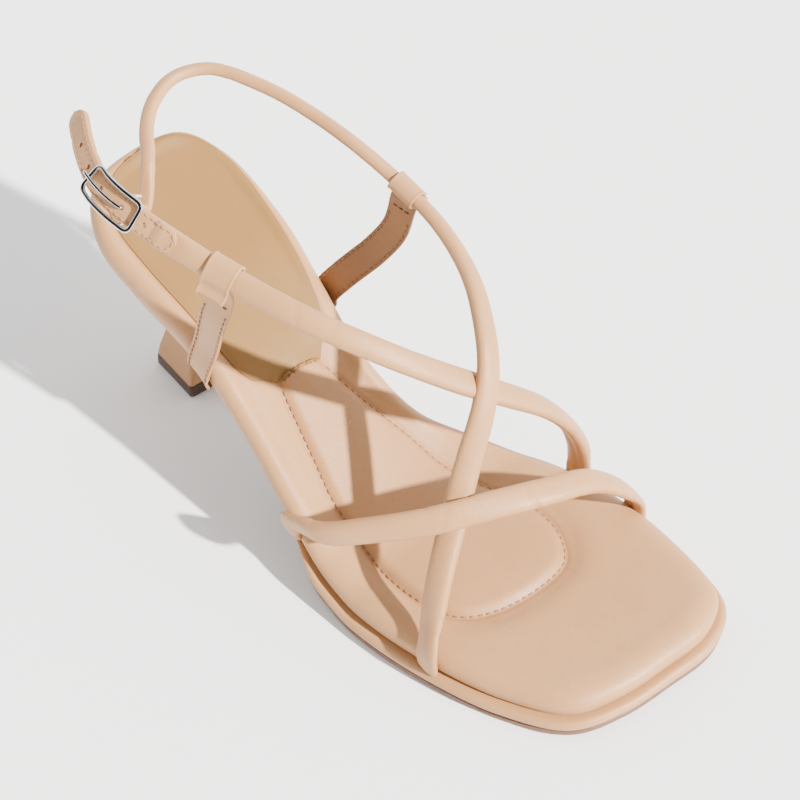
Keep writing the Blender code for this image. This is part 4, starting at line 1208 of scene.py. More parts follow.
def build_footbed():
    """The padded footbed: cross sections with a half-round side, and the dish and oval seam on top."""

    def profile(x):
        thickness = pad_thickness(x)[:, None]
        belly = PAD_BELLY * thickness
        low = np.radians(np.linspace(-90, 0, 8))[None]
        lower_round = PAD_LOWER_ROUND + (TOE_LOWER_ROUND - PAD_LOWER_ROUND) * forefoot(x)[:, None]
        outset = -lower_round * (1 - np.cos(low))
        return outset, belly * (1 + np.sin(low))

    outer, inner = layer_rows(profile)
    inset = PAD_UPPER_ROUND * (1 - np.cos(np.radians(np.linspace(8, 90, 10))))
    inset = np.concatenate([inset, [PAD_UPPER_ROUND + (DISH_INSET - PAD_UPPER_ROUND) / 2, DISH_INSET]])
    uppers = []
    for edge, normal in (OUTER, INNER):
        spots = edge[:, None] - normal[:, None] * inset[None, :, None]
        level = pad_level(spots.reshape(-1, 2), np.broadcast_to(inset, spots.shape[:2]).reshape(-1))
        uppers.append(np.concatenate([spots, level.reshape(*spots.shape[:2], 1)], axis=2))
    top = across(uppers[0][:, -1], uppers[1][:, -1], TOP_COLUMNS)
    spots = top[..., :2].reshape(-1, 2)
    distance = np.maximum(distance_to(EDGE_LINE, spots), DISH_INSET)
    top[..., 2] = pad_level(spots, distance).reshape(top.shape[:2])
    bottom = across(inner[:, 0], outer[:, 0], 20)
    bottom[..., 2] = feather(bottom[..., 0])
    grid = np.concatenate(
        [outer, uppers[0], top, uppers[1][:, ::-1], inner[:, ::-1], bottom, outer[:, :1]], axis=1
    )
    # rim: the rounded upper edge, made paler in the leather by rubbed wear and a painted highlight.
    rim = np.zeros(grid.shape[:2])
    side = outer.shape[1]
    rise = np.sin(np.linspace(0, math.pi, len(inset)))
    rim[:, side : side + len(inset)] = rise
    start = side + len(inset) + TOP_COLUMNS
    rim[:, start : start + len(inset)] = rise[::-1]
    # painted_shade: painted shade mixed into the leather's colour, in the oval's seam groove, over the sunken
    # oval and in a line along the sock's edge on the padding.
    painted_shade = np.zeros(grid.shape[:2])
    face = slice(side, start + len(inset))
    seam, within = oval_distance(grid[:, face, :2].reshape(-1, 2))
    seam, within = [field.reshape(painted_shade[:, face].shape) for field in (seam, within)]
    painted_shade[:, face] = np.maximum(SEAM_SHADE * np.exp(-((seam / GROOVE_REACH) ** 2)), OVAL_SHADE * within)
    outer_sock, inner_sock = sock_sides()
    front = outer_sock[-1] + (inner_sock[-1] - outer_sock[-1]) * np.linspace(0, 1, 60)[:, None]
    border = np.concatenate([outer_sock, front, inner_sock[::-1]])
    near = distance_to(border, grid[:, face, :2].reshape(-1, 2)).reshape(painted_shade[:, face].shape)
    painted_shade[:, face] = np.maximum(painted_shade[:, face], np.exp(-((near / SOCK_SHADE) ** 2)))
    mesh = mesh_of("padded_footbed", [grid], fields={"rim": rim, "painted_shade": painted_shade})
    piece = add_piece("padded_footbed", mesh, "nude leather", ["footbed"])


def sock_sides():
    """The sock's two edges from the heel's rear to its front edge, with equal numbers of points."""
    sides = []
    for spots in (SOCK_OUTER, SOCK_INNER):
        line = curve(in_plan(spots), False, 20)
        sides.append(resample(line, np.linspace(0, run_lengths(line)[-1], SOCK_ROWS)))
    return sides


def build_sock():
    """The heel sock: rows across the shoe between its two edges, turned down a little at its rim."""
    outer, inner = sock_sides()
    t = (0.5 - 0.5 * np.cos(np.linspace(0, math.pi, 61)))[None, :, None]
    spots = (outer[:, None] * (1 - t) + inner[:, None] * t).reshape(-1, 2)
    line = np.concatenate([outer, inner[::-1]])
    front = outer[-1] + (inner[-1] - outer[-1]) * np.linspace(0, 1, 40)[:, None]
    away = distance_to(np.concatenate([line, front]), spots)
    turned = SOCK_TURN * np.exp(-((away / SOCK_TURN_REACH) ** 2))
    level = pad_top(spots) + SOCK_THICKNESS + SOCK_RISE - turned
    grid = np.concatenate([spots, level[:, None]], axis=1).reshape(len(outer), t.shape[1], 3)
    # rim: the sock's edge, darkened in its material by painted shade.
    rim = np.exp(-((away / SOCK_RIM_REACH) ** 2)).reshape(grid.shape[:2])
    mesh = mesh_of("heel_sock_lining", [grid], fields={"rim": rim})
    piece = add_piece("heel_sock_lining", mesh, "sock leather", ["heel_sock"])
    wall = piece.modifiers.new("thickness", "SOLIDIFY")
    wall.thickness = SOCK_THICKNESS
    wall.offset = -1


def stitch_rows(name, lines, finish, pitch=None):
    """Short capsules of thread along each line of (points, normals).

    A stitch at length s is a tube round the line from s - half to s + half, of radius r * (1 - t^6)^(1/2).
    Its middle stands above the surface while both ends dip into it, t being -1 to 1 along it.
    """
    pitch = pitch or sizes().stitch_pitch
    half, radius = sizes().stitch_length / 2, sizes().thread / 2
    t = np.array([-1.0, -0.9, -0.6, 0.0, 0.6, 0.9, 1.0])
    turns = np.linspace(0, 2 * math.pi, 7)
    grids = []
    for points, normals in lines:
        total = run_lengths(points)[-1]
        count = max(1, round(total / pitch))
        middles = (np.arange(count) + 0.5) * total / count
        at = middles[:, None] + t * half
        spots, up = resample(points, at), unit(resample(points, at, normals))
        run = unit(np.gradient(spots, axis=1))
        beside = np.cross(up, run)
        size = radius * np.sqrt(np.clip(1 - t**6, 0, 1))[None, :, None, None]
        spots = spots + up * (radius * (0.55 - 1.1 * t**4))[None, :, None]
        ring = beside[:, :, None] * np.cos(turns)[:, None] * size
        ring = ring + up[:, :, None] * np.sin(turns)[:, None] * size * 0.8
        grids.append(spots[:, :, None] + ring)
    add_piece(name, mesh_of(name, np.concatenate(grids)), finish)


def on_pad(spots):
    """A line on the footbed's upper face, with its normals."""
    return np.concatenate([spots, pad_top(spots)[:, None]], axis=1), pad_normals(spots)


def build_oval_stitching():
    """The stitches of the oval, just inside its seam."""
    line = panel_line()
    run = unit(np.gradient(line, axis=0))
    line = line + np.stack([-run[:, 1], run[:, 0]], axis=1) * OVAL_STITCH_OFFSET
    line = resample(line, np.linspace(OVAL_STITCH_END, run_lengths(line)[-1] - OVAL_STITCH_END, 400))
    stitch_rows("oval_stitching", [on_pad(line)], "tan thread")


def strap_grid(path, girths, ends=(0.0, 0.0)):
    """A strap's surface: an oval section carried along its path.

    Point = path + across * width / 2 * x + away * thickness / 2 * y, with (x, y) on an oval. Folds across the
    strap and the closing seam on its inner side lower the surface and are darkened with painted shade. ends
    are the lengths over which each end is rounded off, as sqrt(1 - (1 - s / length)^2) times the width.
    """
    path, _, away, side = fine_strap(path)
    share = path_shares(path)
    length = run_lengths(path)
    width, thickness, power = [through(girths, column, share) for column in (1, 2, 3)]
    for end, size in zip((length, length[-1] - length), ends):
        if size:
            width = width * np.sqrt(np.clip(1 - (1 - np.clip(end / size, 0, 1)) ** 2, 0.0, 1))
    angles = np.linspace(0, 2 * math.pi, STRAP_SIDES + 1)
    x, y = oval(angles[None], power[:, None])
    x[:, -1], y[:, -1] = x[:, 0], y[:, 0]
    lowered = strap_folds(length, angles)
    x, y = x * (width[:, None] / 2 - lowered), y * (thickness[:, None] / 2 - lowered)
    grid = path[:, None] + side[:, None] * x[..., None] + away[:, None] * y[..., None]
    grid = with_ends(grid, path[0], path[-1])
    around = angles / (2 * math.pi) * 2 * (width.max() + thickness.max())
    maps = np.stack(np.broadcast_arrays(length[:, None], around[None]), axis=-1)
    # rim: the strap's upper face, made paler in the leather by rubbed wear and a painted highlight.
    rim = np.clip(np.sin(angles), 0, 1)[None] ** 2 * np.ones(len(path))[:, None]
    # painted_shade: painted shade in the folds and along the closing seam.
    painted_shade = np.clip(lowered / max(sizes().crease_depth, 1e-6), 0, 1) * 0.5
    return grid, repeat_ends(maps), {"rim": repeat_ends(rim), "painted_shade": repeat_ends(painted_shade)}


def strap_folds(length, angles):
    """How far the folds and the seam lower a strap's surface, each as exp(-(distance / half width)^2)."""
    seed = np.random.default_rng(int(1e5 * length[-1]) % 9973)
    total = length[-1]
    centres = np.concatenate([seed.uniform(0.004, 0.022, 4), total - seed.uniform(0.004, 0.022, 4)])
    centres = np.concatenate([centres, seed.uniform(0.02, total - 0.02, 10)])
    depth = sizes().crease_depth * seed.uniform(0.4, 1.0, len(centres))
    slant = seed.uniform(-0.9, 0.9, len(centres)) * FOLD_LEAN
    middle = seed.uniform(0, 2 * math.pi, len(centres))
    lowered = np.zeros((len(length), len(angles)))
    for place, deep, lean, turn in zip(centres, depth, slant, middle):
        away = (length[:, None] - place - lean * np.sin(angles - turn)) / FOLD_WIDTH
        spread = 0.5 + 0.5 * np.cos(angles - turn)
        lowered += deep * np.exp(-(away**2)) * spread**2
    seam = sizes().strap_seam * np.exp(-(((angles - 1.5 * math.pi) / SEAM_HALF_ANGLE) ** 2))
    return lowered + seam[None]


def build_straps():
    """The three straps as soft tubes, the buckle strap flattened, rounded and punched toward its end."""
    sections = {"ball": BALL_GIRTHS, "ankle": ANKLE_GIRTHS, "buckle": BUCKLE_GIRTHS}
    tips = {"ball": (0.0, 0.0), "ankle": (0.0, EYELET_END_WIDTH / 2), "buckle": (0.0, FLAT_WIDTH / 2)}
    for name, path in STRAPS.items():
        grid, maps, fields = strap_grid(path, sections[name], tips[name])
        mesh = mesh_of(f"{name}_strap", [grid], [maps], fields)
        piece = add_piece(f"{name}_strap", mesh, "nude leather", ["upper_straps"])
        if name == "buckle":
            punch(piece, [local_hole(offset) for offset in HOLE_OFFSETS] + [prong_hole()], HOLE_RADIUS)
        if name == "ankle":
            link = link_places(STRAPS["buckle"])
            punch(piece, [(link["rear"], unit(link["out"]))], eyelet_radius())


def local_hole(offset):
    spot, _, away, _ = buckle_frame_at(STRAPS["buckle"], 0.5 + offset / BUCKLE_LENGTH)
    return spot, away


def prong_hole():
    spot, run, away, _ = buckle_frame_at(STRAPS["buckle"], BAR_PLACE)
    return spot + run * prong_rise(), away


def tube(path, radius, closed):
    """A round wire: path + radius * (cos(a) * u + sin(a) * v), with u and v carried along without twist."""
    if closed:
        path = np.concatenate([path, path[:1]])
        run = unit(np.gradient(np.concatenate([path[-2:-1], path, path[1:2]]), axis=0)[1:-1])
    else:
        run = unit(np.gradient(path, axis=0))
    flat = unit(np.linalg.svd(path - path.mean(axis=0))[2][2])
    u = unit(flat - run * (run @ flat)[:, None])
    v = np.cross(run, u)
    a = np.linspace(0, 2 * math.pi, WIRE_SIDES + 1)[None, :, None]
    grid = path[:, None] + radius * (np.cos(a) * u[:, None] + np.sin(a) * v[:, None])
    if closed:
        return grid
    ends = []
    for end, sign in ((0, -1), (-1, 1)):
        rounds = []
        for turn in np.radians([30, 60, 90]):
            spot = path[end] + run[end] * sign * radius * math.sin(turn)
            rounds.append(spot + (grid[end] - path[end]) * math.cos(turn))
        ends.append(np.array(rounds))
    return np.concatenate([ends[0][::-1], grid, ends[1]])


def punch(piece, holes, radius):
    """Cuts round holes of (middle, direction) through a piece."""
    reach = STRAP_THICKNESS
    for middle, direction in holes:
        pin = np.stack([middle - direction * reach, middle, middle + direction * reach])
        side = unit(np.cross(direction, [0.3, 0.5, 0.8]))
        other = np.cross(direction, side)
        a = np.linspace(0, 2 * math.pi, 25)[None, :, None]
        grid = pin[:, None] + radius * (np.cos(a) * side + np.sin(a) * other)
        cutter = bpy.data.objects.new("punch", mesh_of("punch", [with_ends(grid, pin[0], pin[-1])]))
        bpy.context.scene.collection.objects.link(cutter)
        cut = piece.modifiers.new("hole", "BOOLEAN")
        cut.object = cutter
        cut.operation = "DIFFERENCE"
        cut.solver = "EXACT"
        bpy.context.view_layer.update()
        graph = bpy.context.evaluated_depsgraph_get()
        made = bpy.data.meshes.new_from_object(piece.evaluated_get(graph), depsgraph=graph)
        piece.modifiers.clear()
        old = piece.data
        piece.data = made
        bpy.data.meshes.remove(old)
        bpy.data.objects.remove(cutter, do_unlink=True)
        made.name = piece.name
    piece.data.set_sharp_from_angle(angle=math.radians(50))


def loop_path(strap, girths, place, side):
    """Middle line of a folded band: out from under the footbed's edge, up its leg and round the strap."""
    share = share_at(strap, place["top"])
    spot, run, away, across_strap = local_frame(strap, share)
    up = across_strap if across_strap[2] > 0 else -across_strap
    half_width = through(girths, 1, share) / 2 + LOOP_CLEARANCE + LOOP_PLY / 2
    half_thick = through(girths, 2, share) / 2 + LOOP_CLEARANCE + LOOP_PLY / 2
    edge, out = edge_at(side, place["foot"])
    belly = PAD_BELLY * pad_thickness(edge[0])
    off = LOOP_STAND + LOOP_PLY / 2
    path = []
    for angle in np.radians([-60, -38, -14]):
        outset = -PAD_LOWER_ROUND * (1 - math.cos(angle)) + off * math.cos(angle)
        height = belly * (1 + math.sin(angle)) + off * math.sin(angle)
        path.append(on_edge(side, place["foot"], outset, height))
    edge_run = np.array([-out[1], out[0], 0.0])
    edge_run *= np.sign(edge_run[0])
    edge_run[2] = (feather(edge[0] + SLOPE_STEP) - feather(edge[0] - SLOPE_STEP)) / (2 * SLOPE_STEP)
    edge_run = unit(edge_run)
    strap_run = run if run[0] > 0 else -run
    legs = len(place["leg"])
    turn = [edge_run] * len(path)
    turn += [edge_run * (1 - part) + strap_run * part for part in np.linspace(0, 1, legs + 1)[1:]]
    path += list(in_space(place["leg"]))
    for c, s in zip(*oval(np.radians([228, 205, 180, 150, 120, 90, 60, 30, 0, -28, -46]), OVAL_POWER)):
        path.append(spot + up * half_width * s + away * half_thick * c)
    for drop in (LOOP_TAB_START, LOOP_TAB):
        path.append(spot - up * (half_width + drop) + away * (LOOP_PLY / 2 + GAP))
    turn += [strap_run] * (len(path) - len(turn))
    steps = [4, 4] + [6] * legs + [3] * (len(path) - legs - 3)
    spots = curve(path, False, steps)
    widths = curve(turn, False, steps, knots(np.array(path), False))
    run = unit(np.gradient(spots, axis=0))
    widths = unit(widths - run * (widths * run).sum(axis=1, keepdims=True))
    return spots, widths, np.cross(run, widths), sum(steps[: 2 + legs])


def band_section():
    """Section of a folded band: a rounded strip whose long edges stand a little above its faces."""
    half_w, half_t, lip = LOOP_WIDTH / 2, LOOP_PLY / 2, sizes().ply_edge
    across_face = np.array([1.0, 0.93, 0.84, 0.74, 0.5, 0.0, -0.5, -0.74, -0.84, -0.93, -1.0])
    rise = half_t - lip + lip * np.exp(-(((1 - np.abs(across_face)) / 0.11) ** 2)) - 0.0001
    rise[[0, -1]] = half_t * 0.72
    upper = np.stack([across_face * half_w * 0.985, rise], axis=1)
    edge = np.array([(-half_w, half_t * 0.3), (-half_w, -half_t * 0.3)])
    lower = upper[::-1] * (1, -1)
    return np.concatenate([upper, edge, lower, -edge, upper[:1]])


def build_loop(name, strap, girths, place, side, replaced):
    """A folded band of two plies, darker tan-brown on its leg's face toward the foot."""
    spots, widths, normals, leg_rows = loop_path(strap, girths, place, side)
    outward = spots[len(spots) // 4] - nearest_core(spots)[len(spots) // 4]
    facing = 1.0 if normals[len(spots) // 4] @ outward > 0 else -1.0
    section = band_section()
    grid = spots[:, None] + widths[:, None] * section[None, :, :1] + normals[:, None] * section[None, :, 1:]
    on_leg = (np.arange(len(spots)) <= leg_rows + 2).astype(float)
    # foot_face: the face toward the foot along the leg, coloured darker brown.
    foot_face = (section[:, 1] * facing < -0.00005).astype(float)[None] * on_leg[:, None]
    grid = with_ends(grid, spots[0], spots[-1])
    mesh = mesh_of(name, [grid], fields={"foot_face": repeat_ends(foot_face)})
    add_piece(name, mesh, "loop leather", [replaced])
    inset = LOOP_WIDTH / 2 * 0.80
    rows = []
    for sign in (1, -1):
        for face in (1, -1):
            line = spots + widths * sign * inset + normals * face * (LOOP_PLY / 2 - sizes().ply_edge)
            rows.append((line[6 : leg_rows - 2], (normals * face)[6 : leg_rows - 2]))
    for face in (1, -1):
        t = np.linspace(-0.72, 0.72, 12)[:, None] * LOOP_WIDTH / 2
        at = leg_rows - 1
        line = spots[at] + widths[at] * t + normals[at] * face * (LOOP_PLY / 2 - sizes().ply_edge)
        rows.append((line, np.repeat(normals[at][None] * face, len(line), axis=0)))
    return rows


def build_loops():
    rows = build_loop("inner_loop_band", STRAPS["ankle"], ANKLE_GIRTHS, INNER_LOOP, INNER, "inner_loop")
    rows += build_loop("outer_loop_band", STRAPS["buckle"], BUCKLE_GIRTHS, OUTER_LOOP, OUTER, "outer_loop")
    stitch_rows("loop_stitching", rows, "tan thread", LOOP_PITCH)


def strap_face(u, share):
    """Height of the buckle strap's face, u beside its middle: T / 2 * (1 - |2 u / W|^(2 / p))^(p / 2)."""
    width, thickness, power = [through(BUCKLE_GIRTHS, column, share) for column in (1, 2, 3)]
    beside = np.clip(np.abs(2 * u / width), 0, 0.96)
    return thickness / 2 * (1 - beside ** (2 / power)) ** (power / 2)


def lap_thickness(share):
    """The lap is a separate ply at its rounded end and thins out where the strap itself is flat."""
    return LAP_THICKNESS * (1 - ramp((share - LAP_START - LAP_FADE) / LAP_FADE)) * (share >= LAP_START)


def build_strap_lap():
    """The flat strap's rounded end, which lies on the padded part, follows its oval and sinks into it."""
    path, _, away, side = fine_strap(STRAPS["buckle"])
    share, length = path_shares(path), run_lengths(path)
    keep = (share > LAP_START) & (share < LAP_START + 2 * LAP_FADE)
    path, away, side, share, length = [field[keep] for field in (path, away, side, share, length)]
    start = np.clip((length - length[0]) / (FLAT_WIDTH / 2), 0.02, 1)
    x, y = oval(np.linspace(0, 2 * math.pi, STRAP_SIDES + 1)[None], np.full((len(path), 1), 0.3))
    u = x * (FLAT_WIDTH / 2 * np.sqrt(1 - (1 - start) ** 2))[:, None]
    height = strap_face(u, share[:, None]) + lap_thickness(share)[:, None] * (0.5 + 0.5 * y)
    height = height - LAP_SINK * (1 - y) / 2
    height -= LAP_SINK * ramp((share - LAP_START - LAP_FADE) / LAP_FADE)[:, None]
    grid = path[:, None] + side[:, None] * u[..., None] + away[:, None] * height[..., None]
    grid[:, -1] = grid[:, 0]
    grid = with_ends(grid, grid[0].mean(axis=0), grid[-1].mean(axis=0))
    mesh = mesh_of("buckle_strap_lap", [grid])
    piece = add_piece("buckle_strap_lap", mesh, "nude leather")
    punch(piece, [local_hole(HOLE_OFFSETS[0])], HOLE_RADIUS)


def build_strap_stitching():
    """A row round the flat strap's rounded end and along both its edges, and two rows on its inner face."""
    path, _, away, side = fine_strap(STRAPS["buckle"])
    share, length = path_shares(path), run_lengths(path)
    total = length[-1]
    inset = FLAT_WIDTH / 2 - SEAM_INSET
    bend = LAP_START * total + FLAT_WIDTH / 2
    straight = np.linspace(total - STITCH_END, bend, 240)
    turn = np.linspace(math.pi / 2, -math.pi / 2, 40)
    at = np.concatenate([straight, bend - inset * np.cos(turn), straight[::-1]])
    u = np.concatenate([np.full(240, inset), inset * np.sin(turn), np.full(240, -inset)])
    spots, out, beside = [resample(path, at, field) for field in (path, away, side)]
    height = strap_face(u, at / total) + lap_thickness(at / total) - STITCH_SINK
    rows = [(spots + beside * u[:, None] + out * height[:, None], out)]
    keep = (share > LAP_START + LAP_FADE) & (length < total - STITCH_END)
    for sign in (1, -1):
        line = path + side * sign * inset - away * (FLAT_THICKNESS / 2 - STITCH_SINK)
        rows.append((line[keep], -away[keep]))
    stitch_rows("buckle_strap_stitching", rows, "nude thread", STRAP_PITCH)


def heel_ring(size, shift, roundness):
    """Rounded rectangles (row, point, xy): straight sides joined by quarter arcs, turned as the heel is."""
    half = np.array([HEEL_LENGTH, HEEL_WIDTH]) / 2 * size[:, None]
    radius = (HEEL_CORNER + (1 - HEEL_CORNER) * roundness)[:, None] * half
    rings = []
    for quarter in range(4):
        corner = np.sign([math.cos(quarter * math.pi / 2 + 0.1), math.sin(quarter * math.pi / 2 + 0.1)])
        angles = (quarter + np.linspace(0, 1, 10)) * math.pi / 2
        arc = np.stack([np.cos(angles), np.sin(angles)], axis=1)
        rings.append(corner * (half - radius)[:, None] + radius[:, None] * arc[None])
    joined = []
    for quarter in range(4):
        start, end = rings[quarter][:, -1:], rings[(quarter + 1) % 4][:, :1]
        t = np.linspace(0, 1, 9)[None, 1:-1, None]
        joined += [rings[quarter], start * (1 - t) + end * t]
    ring = np.concatenate(joined + [rings[0][:, :1]], axis=1)
    ring[..., 0] += (shift * HEEL_LENGTH)[:, None]
    c, s = math.cos(HEEL_TURN), math.sin(HEEL_TURN)
    turned = np.stack([ring[..., 0] * c - ring[..., 1] * s, ring[..., 0] * s + ring[..., 1] * c], axis=-1)
    return turned + [along_to_x(HEEL_ALONG), HEEL_ACROSS * PAD_WIDTH]


def seat_underside(x):
    return feather(x) - 2 * GAP - platform_thickness(x)


def close_ends(grid):
    """Adds a middle point to both ends of a grid whose rows are rings."""
    ends = [np.broadcast_to(row.mean(axis=0), row.shape)[None] for row in (grid[0, :-1], grid[-1, :-1])]
    ends = [np.concatenate([end, end[:, :1]], axis=1) for end in ends]
    return np.concatenate([ends[0], grid, ends[1]])


def build_heel():
    """Spool heel: rings through the table's sizes from a square base to the flare under the seat."""
    base = LIFT_THICKNESS + GAP
    height = np.linspace(0, 1, 90)
    ring = heel_ring(*[through(HEEL_ROWS, column, height) for column in (1, 2, 3)])
    level = base + (seat_underside(ring[..., 0]) - base) * height[:, None]
    grid = close_ends(np.concatenate([ring, level[..., None]], axis=2))
    mesh = mesh_of("heel_cover", [grid], fields={"rim": banded(grid, np.s_[:6], 0.8)})
    add_piece("heel_cover", mesh, "nude leather", ["heel_block"])
    zero = np.zeros(len(LIFT_ROWS))
    ring = heel_ring(LIFT_ROWS[:, 0], zero, zero)
    level = np.broadcast_to(LIFT_ROWS[:, 1, None, None], (*ring.shape[:2], 1))
    grid = close_ends(np.concatenate([ring, level], axis=2))
    mesh = mesh_of("top_lift", [grid], fields={"rim": banded(grid, np.s_[1:4], 1.0)})
    add_piece("top_lift", mesh, "top piece rubber", ["heel_top_piece"])


def rounded(points, radius, closed):
    """A polygon whose corners are parabola arcs: corner + before * r * (1 - t)^2 + after * r * t^2."""
    points = np.asarray(points)
    t = np.linspace(0, 1, CORNER_STEPS)[:, None]
    path = []
    for i, corner in enumerate(points):
        if not closed and i in (0, len(points) - 1):
            path.append(corner[None])
            continue
        before, after = unit(points[i - 1] - corner), unit(points[(i + 1) % len(points)] - corner)
        path.append(corner + before * radius * (1 - t) ** 2 + after * radius * t**2)
    return np.concatenate(path)


def build_buckle():
    """Frame with its cross bar, prong with its eye, and the link to the ankle strap, all of round wire."""
    strap = STRAPS["buckle"]
    half, lift = frame_half_width(), frame_lift()
    rows = [buckle_frame_at(strap, place) for place in np.linspace(0, 1, 9)]
    sides = [[spot + away * lift + side * half * sign for spot, _, away, side in rows] for sign in (1, -1)]
    run = np.array(sides[0] + sides[1][::-1])
    bent = [0, len(rows) - 1, len(rows), len(run) - 1]
    ring = []
    for place, corner in enumerate(run):
        if place in bent:
            bend = [run[place - 1], corner, run[(place + 1) % len(run)]]
            ring.append(rounded(bend, BUCKLE_CORNER, False)[1:-1])
        elif min(abs(place - b) for b in bent) > 1:
            ring.append(corner[None])
    ring = tube(np.concatenate(ring), BUCKLE_WIRE / 2, True)
    spot, run, away, side = buckle_frame_at(strap, BAR_PLACE)
    stops = [(half, lift), (half, -bar_drop()), (-half, -bar_drop()), (-half, lift)]
    stops = [spot + side * a + away * b for a, b in stops]
    bar = tube(rounded(stops, BUCKLE_WIRE, False), CROSS_BAR_WIRE / 2, False)
    mesh = join_meshes("buckle_wire", [mesh_of("ring", [ring]), mesh_of("bar", [bar])])
    add_piece("buckle_wire", mesh, "polished metal", ["buckle_frame"])

    eye = prong_rise()
    middle = spot - away * bar_drop()
    angles = np.radians(np.linspace(75, 360, 22))[:, None]
    path = [middle + run * eye * np.cos(angles) + away * eye * np.sin(angles)]
    above = FLAT_THICKNESS / 2 + GAP + PRONG_WIRE / 2
    over_end = lift + BUCKLE_WIRE / 2 + GAP + PRONG_WIRE / 2
    start = BAR_PLACE + (eye + PRONG_BEND) / BUCKLE_LENGTH
    rise = [spot + run * eye + away * FLAT_THICKNESS / 2]
    for share in (0.0, 0.35, 0.7, 1.0):
        at, along, out, _ = buckle_frame_at(strap, start + (1.0 - start) * share)
        rise.append(at + out * (above + (over_end - above) * share))
    rise.append(at + along * PRONG_TIP + out * over_end)
    path.append(curve(np.array([path[0][-1], *rise]), False, 6)[1:])
    mesh = mesh_of("prong_wire", [tube(np.concatenate(path), PRONG_WIRE / 2, False)])
    add_piece("prong_wire", mesh, "polished metal", ["buckle_prong"])

    link = link_places(strap)
    out = link["out"] * (EYELET_END_THICKNESS / 2 + LINK_SLACK + LINK_WIRE / 2)
    corners = [link["front"] + out, link["rear"] + out, link["rear"] - out, link["front"] - out]
    mesh = mesh_of("link_wire", [tube(rounded(corners, LINK_CORNER, True), LINK_WIRE / 2, True)])
    add_piece("link_wire", mesh, "polished metal", ["buckle_link"])


def view_axes():
    """Forward, right and up vectors of the photograph's camera."""
    flat = math.cos(CAMERA_PITCH)
    forward = np.array([math.cos(CAMERA_YAW) * flat, math.sin(CAMERA_YAW) * flat, -math.sin(CAMERA_PITCH)])
    right = unit(np.cross(forward, [0, 0, 1]))
    up = np.cross(right, forward)
    c, s = math.cos(CAMERA_ROLL), math.sin(CAMERA_ROLL)
    return forward, right * c + up * s, up * c - right * s


def build_camera():
    """The photograph's camera, turned toward the one shoe and zoomed in on it."""
    forward, right, up = view_axes()
    aim = forward + right * (AIM_PIXEL[0] - PHOTO_MIDDLE) / PHOTO_FOCAL
    aim = unit(aim + up * (PHOTO_MIDDLE - AIM_PIXEL[1]) / PHOTO_FOCAL)
    up = unit(up - aim * (up @ aim))
    right = np.cross(aim, up)
    data = bpy.data.cameras.new("camera")
    data.sensor_width = SENSOR
    data.lens = PHOTO_FOCAL * ZOOM / (2 * PHOTO_MIDDLE) * SENSOR
    camera = bpy.data.objects.new("camera", data)
    turn = Matrix((Vector(right), Vector(up), Vector(-aim))).transposed().to_4x4()
    camera.matrix_world = Matrix.Translation(CAMERA_PLACE) @ turn
    bpy.context.scene.collection.objects.link(camera)
    bpy.context.scene.camera = camera


def build_stage():
    """Floor, a low key light from the toe's side and a pale sky with one dim wall, and the camera."""
    scene = bpy.context.scene
    build_camera()
    reach = np.linspace(-FLOOR_REACH, FLOOR_REACH, 13)
    x, y = np.meshgrid(reach, reach, indexing="ij")
    mesh = mesh_of("floor", [np.stack([x, y, np.zeros_like(x)], axis=-1)])
    if mesh.polygons[0].normal.z < 0:
        mesh.flip_normals()
    floor = bpy.data.objects.new("floor", mesh)
    mesh.materials.append(finish_called("studio floor"))
    scene.collection.objects.link(floor)
    light = bpy.data.lights.new("key", "SUN")
    light.energy = SUN_ENERGY
    light.angle = SUN_ANGLE
    light.color = SUN_COLOUR
    key = bpy.data.objects.new("key", light)
    flat = math.cos(SUN_HEIGHT)
    toward = Vector((math.cos(SUN_AZIMUTH) * flat, math.sin(SUN_AZIMUTH) * flat, math.sin(SUN_HEIGHT)))
    key.rotation_euler = toward.to_track_quat("Z", "Y").to_euler()
    scene.collection.objects.link(key)
    world = bpy.data.worlds.new("studio")
    world.use_nodes = True
    tree = Tree(world.node_tree)
    toward = tree.dot(tree.add("ShaderNodeTexCoord").outputs["Generated"], DARK_WALL)
    strength = tree.spread(toward, 0.45, 0.85, SKY_BRIGHT, SKY_DIM)
    tree.set(world.node_tree.nodes["Background"], {"Color": SKY_COLOUR, "Strength": strength})
    scene.world = world


class SANDAL_OT_sole(bpy.types.Operator):
    """Builds the padded footbed, the rand and the outsole"""

    bl_idname = "sandal.sole"
    bl_label = "Sole"

    def execute(self, context):
        build_outsole()
        build_rand()
        build_footbed()
        return {"FINISHED"}


class SANDAL_OT_sock(bpy.types.Operator):
    """Builds the heel sock and the stitches of the oval"""

    bl_idname = "sandal.sock"
    bl_label = "Sock and Stitches"

    def execute(self, context):
        build_sock()
        build_oval_stitching()
        return {"FINISHED"}


class SANDAL_OT_straps(bpy.types.Operator):
    """Builds the three straps"""

    bl_idname = "sandal.straps"
    bl_label = "Straps"

    def execute(self, context):
        build_straps()
        build_strap_lap()
        build_strap_stitching()
        return {"FINISHED"}


class SANDAL_OT_loops(bpy.types.Operator):
    """Builds the two loops that hold the straps to the sole"""

    bl_idname = "sandal.loops"
    bl_label = "Loops"

    def execute(self, context):
        build_loops()
        return {"FINISHED"}


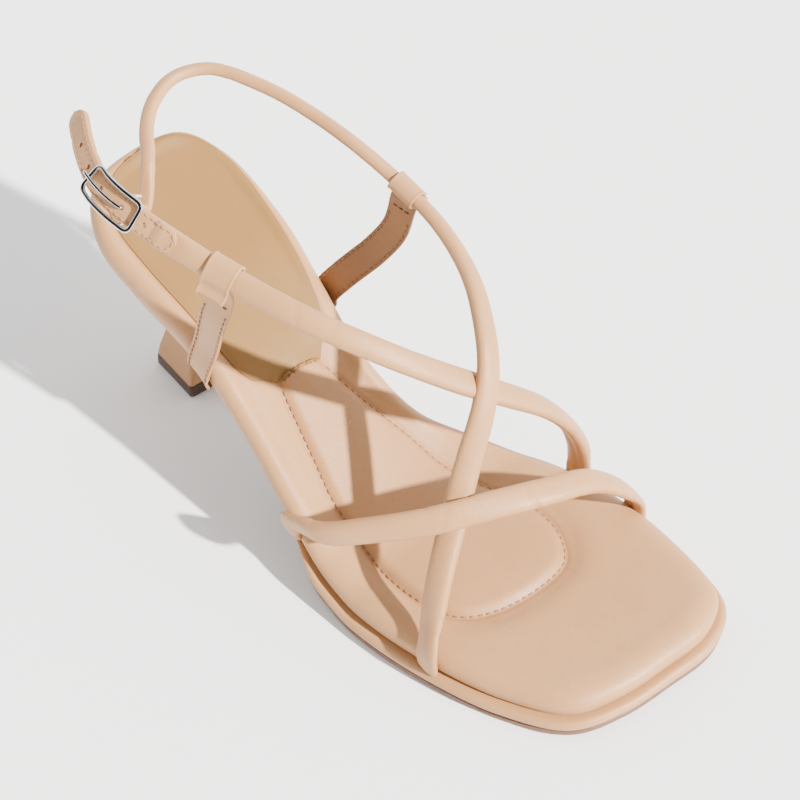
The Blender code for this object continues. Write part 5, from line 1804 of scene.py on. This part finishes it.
class SANDAL_OT_heel(bpy.types.Operator):
    """Builds the covered heel and its top piece"""

    bl_idname = "sandal.heel"
    bl_label = "Heel"

    def execute(self, context):
        build_heel()
        return {"FINISHED"}


class SANDAL_OT_buckle(bpy.types.Operator):
    """Builds the wire buckle, its prong and its link"""

    bl_idname = "sandal.buckle"
    bl_label = "Buckle"

    def execute(self, context):
        build_buckle()
        return {"FINISHED"}


class SANDAL_OT_stage(bpy.types.Operator):
    """Builds the floor, the light and the camera"""

    bl_idname = "sandal.stage"
    bl_label = "Stage"

    def execute(self, context):
        build_stage()
        return {"FINISHED"}


STEPS = (
    SANDAL_OT_sole,
    SANDAL_OT_sock,
    SANDAL_OT_straps,
    SANDAL_OT_loops,
    SANDAL_OT_heel,
    SANDAL_OT_buckle,
    SANDAL_OT_stage,
)


class SANDAL_PT_panel(bpy.types.Panel):
    """Lists the sandal's sizes, colours and building steps"""

    bl_idname = "SANDAL_PT_panel"
    bl_label = "Strappy Heeled Sandal"
    bl_space_type = "VIEW_3D"
    bl_region_type = "UI"
    bl_category = "Sandal"

    def draw(self, context):
        layout = self.layout
        for group in (context.scene.sandal_sizes, context.scene.sandal_colours):
            for key in group.__annotations__:
                layout.prop(group, key)
        for step in STEPS:
            layout.operator(step.bl_idname)


CLASSES = (SandalSizes, SandalColours, *STEPS, SANDAL_PT_panel)


def register():
    for kind in CLASSES:
        bpy.utils.register_class(kind)
    bpy.types.Scene.sandal_sizes = PointerProperty(type=SandalSizes)
    bpy.types.Scene.sandal_colours = PointerProperty(type=SandalColours)


def unregister():
    del bpy.types.Scene.sandal_colours
    del bpy.types.Scene.sandal_sizes
    for kind in reversed(CLASSES):
        bpy.utils.unregister_class(kind)


def main():
    register()
    bpy.ops.sandal.sole()
    bpy.ops.sandal.sock()
    bpy.ops.sandal.straps()
    bpy.ops.sandal.loops()
    bpy.ops.sandal.heel()
    bpy.ops.sandal.buckle()
    bpy.ops.sandal.stage()


if __name__ == "__main__":
    main()
